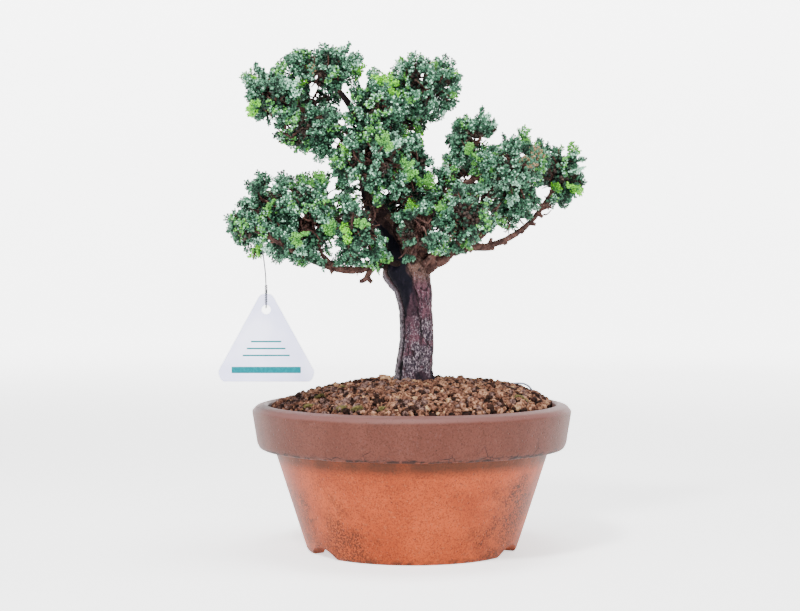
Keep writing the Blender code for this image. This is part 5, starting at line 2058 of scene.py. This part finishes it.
@dataclass
class Tag:
    """The tag that hangs from a bough: a rounded triangle of thin plastic on a twist of wire.

    Attributes:
        corner: Height of the widest place.
        corner_shift: How far the lower corners are drawn in.
        place: Its foot's middle.
        hole_radius: Radius of the wire's hole, and hole_drop its distance from the top.
    """

    width: float = 70.4
    height: float = 63.4
    top_width: float = 8.4
    corner: float = 7.0
    corner_shift: float = 2.8
    thickness: float = 1.0
    place: tuple = (-105.4, -58.0, 129.8)
    hole_radius: float = 3.3
    hole_drop: float = 11.4
    wire_radius: float = 0.45
    twist_radius: float = 0.42
    twists: int = 8
    wire_bough: str = "bough_left_tip"
    wire_x: float = -107.5
    # Ruled lines across the tag: height over the foot, length and height of the line.
    lines: tuple = ((8.5, 50.0, 4.6), (19.0, 34.0, 1.1), (24.0, 28.0, 1.1), (29.0, 22.0, 1.1))

    def build(self) -> None:
        """Makes the tag, its ruled lines and its wire."""
        settle(self.build_plate(), ["label"])
        settle(self.build_lines())
        settle(self.build_wire(), ["label_wire"])

    def build_plate(self) -> Piece:
        """The plate with rounded corners and edges, and its hole.

        Returns:
            The new piece.
        """
        half, top = self.width / 2, self.top_width / 2
        outline = ((self.corner_shift - half, 0.0), (half - self.corner_shift, 0.0), (half, self.corner),
                   (top, self.height), (-top, self.height), (-half, self.corner))
        bm = bmesh.new()
        verts = [bm.verts.new(((self.place[0] + x) * MM, (self.place[1] - self.thickness / 2) * MM,
                               (self.place[2] + z) * MM)) for x, z in outline]
        bm.faces.new(verts)
        bmesh.ops.bevel(bm, geom=bm.verts[:], offset=2.6 * MM, affect="VERTICES", segments=6, profile=0.5,
                        material=-1)
        grown = bmesh.ops.extrude_face_region(bm, geom=bm.faces[:])
        moved = [item for item in grown["geom"] if isinstance(item, bmesh.types.BMVert)]
        bmesh.ops.translate(bm, verts=moved, vec=(0.0, self.thickness * MM, 0.0))
        rims = [edge for edge in bm.edges if abs(edge.verts[0].co.y - edge.verts[1].co.y) < SAME_PLACE]
        bmesh.ops.bevel(bm, geom=rims, offset=0.22 * MM, affect="EDGES", segments=2, profile=0.5, material=-1)
        finish = TAG_PLASTIC.material()
        plate = piece_from(bm, "tag_plate", finish, 40)
        punch = bmesh.new()
        bmesh.ops.create_cone(punch, cap_ends=True, segments=48, radius1=self.hole_radius * MM,
                              radius2=self.hole_radius * MM, depth=8 * MM)
        punch.transform(Matrix.Translation(self.hole_place() * MM) @ Matrix.Rotation(math.pi / 2, 4, "X"))
        cut(plate, piece_from(punch, "punch", finish))
        return plate

    def hole_place(self) -> Vector:
        """The middle of the hole."""
        return Vector((self.place[0], self.place[1], self.place[2] + self.height - self.hole_drop))

    def build_lines(self) -> Piece:
        """Plain ruled lines, laid just proud of the plate's front.

        Returns:
            The new piece.
        """
        bm = bmesh.new()
        front = self.place[1] - self.thickness / 2 - 0.03
        for rise, length, height in self.lines:
            middle = Vector((self.place[0], front, self.place[2] + rise)) * MM
            size = Matrix.Diagonal((length * MM, 0.1 * MM, height * MM, 1.0))
            bmesh.ops.create_cube(bm, size=1.0, matrix=Matrix.Translation(middle) @ size)
        return piece_from(bm, "tag_lines", TAG_INK.material())

    def wire_way(self) -> Array:
        """The wire's way: over the bough, down and through the hole.

        Returns:
            Points at even distances along the way.
        """
        places, radii = evenly(*limb_points(LIMBS[self.wire_bough], 12), 240)
        nearest = int(np.argmin(np.abs(places[:, 0] - self.wire_x)))
        seat, room = places[nearest], 1.15 * radii[nearest] + self.wire_radius + GAP
        hole = self.hole_place()
        clear = self.thickness / 2 + self.wire_radius + 0.35
        points = [seat + (0, room, -4), seat + (0, room, 0), seat + (0, 0, room), seat + (0, -room, 0),
                  seat + (0.1, 0.3 - room, -12), (hole.x - 0.4, hole.y - clear, hole.z + 26),
                  (hole.x, hole.y - clear, hole.z + 14), (hole.x, hole.y - clear, hole.z + 2.6),
                  (hole.x, hole.y, hole.z + 1.6), (hole.x, hole.y + clear, hole.z + 2.6),
                  (hole.x + 0.2, hole.y + clear, hole.z + 14)]
        path, widths = smooth_path([tuple(point) for point in points], [self.wire_radius] * len(points), 10)
        return evenly(path, widths, 161)[0]

    def build_wire(self) -> Piece:
        """The wire, with a tight twist of itself over the hole.

        Returns:
            The new piece.
        """
        way = self.wire_way()
        tube = TubeShape(12, len(way) - 1)
        batch = Batch().lay(tube, way[None], np.full((1, len(way)), self.wire_radius))
        hole = self.hole_place()
        turns = np.linspace(0.0, 1.0, 121)
        angle = turns * math.tau * self.twists
        coil = np.stack((hole.x + 0.75 * np.cos(angle), hole.y + 0.35 * np.sin(angle) - 0.1,
                         hole.z + 4.5 + 13.0 * turns), axis=1)
        twist = TubeShape(10, len(coil) - 1)
        batch.lay(twist, coil[None], np.full((1, len(coil)), self.twist_radius))
        return batch.piece("tag_wire", TAG_STEEL.material())


def cut(piece: Piece, cutter: Piece) -> None:
    """Cuts one piece's shape out of another and removes the cutter.

    Args:
        piece: What is cut.
        cutter: What cuts it.
    """
    boolean = piece.modifiers.new("cut", "BOOLEAN")
    boolean.operation = "DIFFERENCE"
    boolean.object = cutter
    bpy.context.view_layer.update()
    graph = bpy.context.evaluated_depsgraph_get()
    result = bpy.data.meshes.new_from_object(piece.evaluated_get(graph))
    piece.modifiers.clear()
    piece.data = result
    bpy.data.objects.remove(cutter, do_unlink=True)


@dataclass
class Studio:
    """A pale studio: a floor that sweeps up all round, soft lights and the camera."""

    floor_radius: float = 3200.0
    sweep: float = 1500.0
    near_glow: float = 1.2
    far_glow: float = 4.0
    # Each light's name, place and size in metres, and its power in watts.
    lamps: tuple = (("key", (-0.6, -1.2, 1.6), 0.3, 58.0), ("fill", (1.2, -1.3, 0.7), 1.4, 7.0),
                    ("top", (0.1, 0.0, 1.8), 0.7, 36.0), ("back", (0.3, 1.5, 1.0), 1.2, 12.0))

    def build(self) -> None:
        """Makes the floor, the lights, the world and the camera."""
        profile = [(0.0, 0.0), (self.floor_radius, 0.0)]
        profile += [(self.floor_radius + self.sweep * math.sin(turn), self.sweep * (1.0 - math.cos(turn)))
                    for turn in np.linspace(0.1, math.pi / 2, 12)]
        floor = piece_from(turned(profile, 96), "studio_floor", self.floor_finish(), 60)
        if floor.data.polygons[0].normal.z < 0.0:
            floor.data.flip_normals()
        for lamp in self.lamps:
            self.light(*lamp)
        world = bpy.data.worlds.new("studio")
        bpy.context.scene.world = world
        world.use_nodes = True
        sky = world.node_tree.nodes["Background"].inputs
        sky["Color"].default_value = (1.0, 1.0, 1.0, 1.0)
        sky["Strength"].default_value = 0.5
        self.camera()

    def floor_finish(self) -> Finish:
        """A white floor that glows a little, and more towards its far edge.

        Returns:
            The material.
        """
        tree = FinishTree("studio_floor", 0.85)
        tree.colour(tree.mix(tone(246, 246, 246), tone(250, 250, 250), tree.patchy((3.0, 3.0, 0.4, 0.65))))
        away = tree.node("ShaderNodeVectorMath", {0: tree.place()}, operation="LENGTH").outputs["Value"]
        glow = tree.product(tree.mask(away, 0.7, 2.8), self.far_glow - self.near_glow)
        glow = tree.math("ADD", self.near_glow, glow)
        tree.plug((1.0, 1.0, 1.0), tree.shader.inputs["Emission Color"])
        tree.plug(glow, tree.shader.inputs["Emission Strength"])
        return tree.material

    def light(self, name: str, place: tuple, size: float, power: float) -> None:
        """A square soft light that faces the crown.

        Args:
            name: Its name.
            place: Where it hangs, in metres.
            size: Its width, in metres.
            power: Its power, in watts.
        """
        lamp = bpy.data.lights.new(name, "AREA")
        lamp.size = size
        lamp.energy = power
        holder = bpy.data.objects.new(name, lamp)
        holder.location = place
        way = Vector((0.0, 0.0, 0.2)) - Vector(place)
        holder.rotation_euler = way.to_track_quat("-Z", "Y").to_euler()
        bpy.context.scene.collection.objects.link(holder)

    def camera(self) -> None:
        """The camera, a little over the rim and looking slightly down."""
        lens = bpy.data.cameras.new("camera")
        lens.lens = CAMERA_LENS
        lens.sensor_width = SENSOR_WIDTH
        lens.sensor_fit = "HORIZONTAL"
        holder = bpy.data.objects.new("camera", lens)
        holder.location = [value * MM for value in EYE]
        holder.rotation_euler = (math.radians(90.0 - CAMERA_PITCH), 0.0, 0.0)
        bpy.context.scene.collection.objects.link(holder)
        bpy.context.scene.camera = holder


def main() -> None:
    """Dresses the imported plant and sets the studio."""
    logging.basicConfig(level=logging.INFO, format="%(message)s")
    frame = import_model()
    Pot().build(FiredClay().material())
    Soil().build()
    Timber().build()
    Crown().build()
    Tag().build()
    Studio().build()
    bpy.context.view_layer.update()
    LOG.info("dressed %d packed solids", len(frame["nodes"]))


if __name__ == "__main__":
    main()
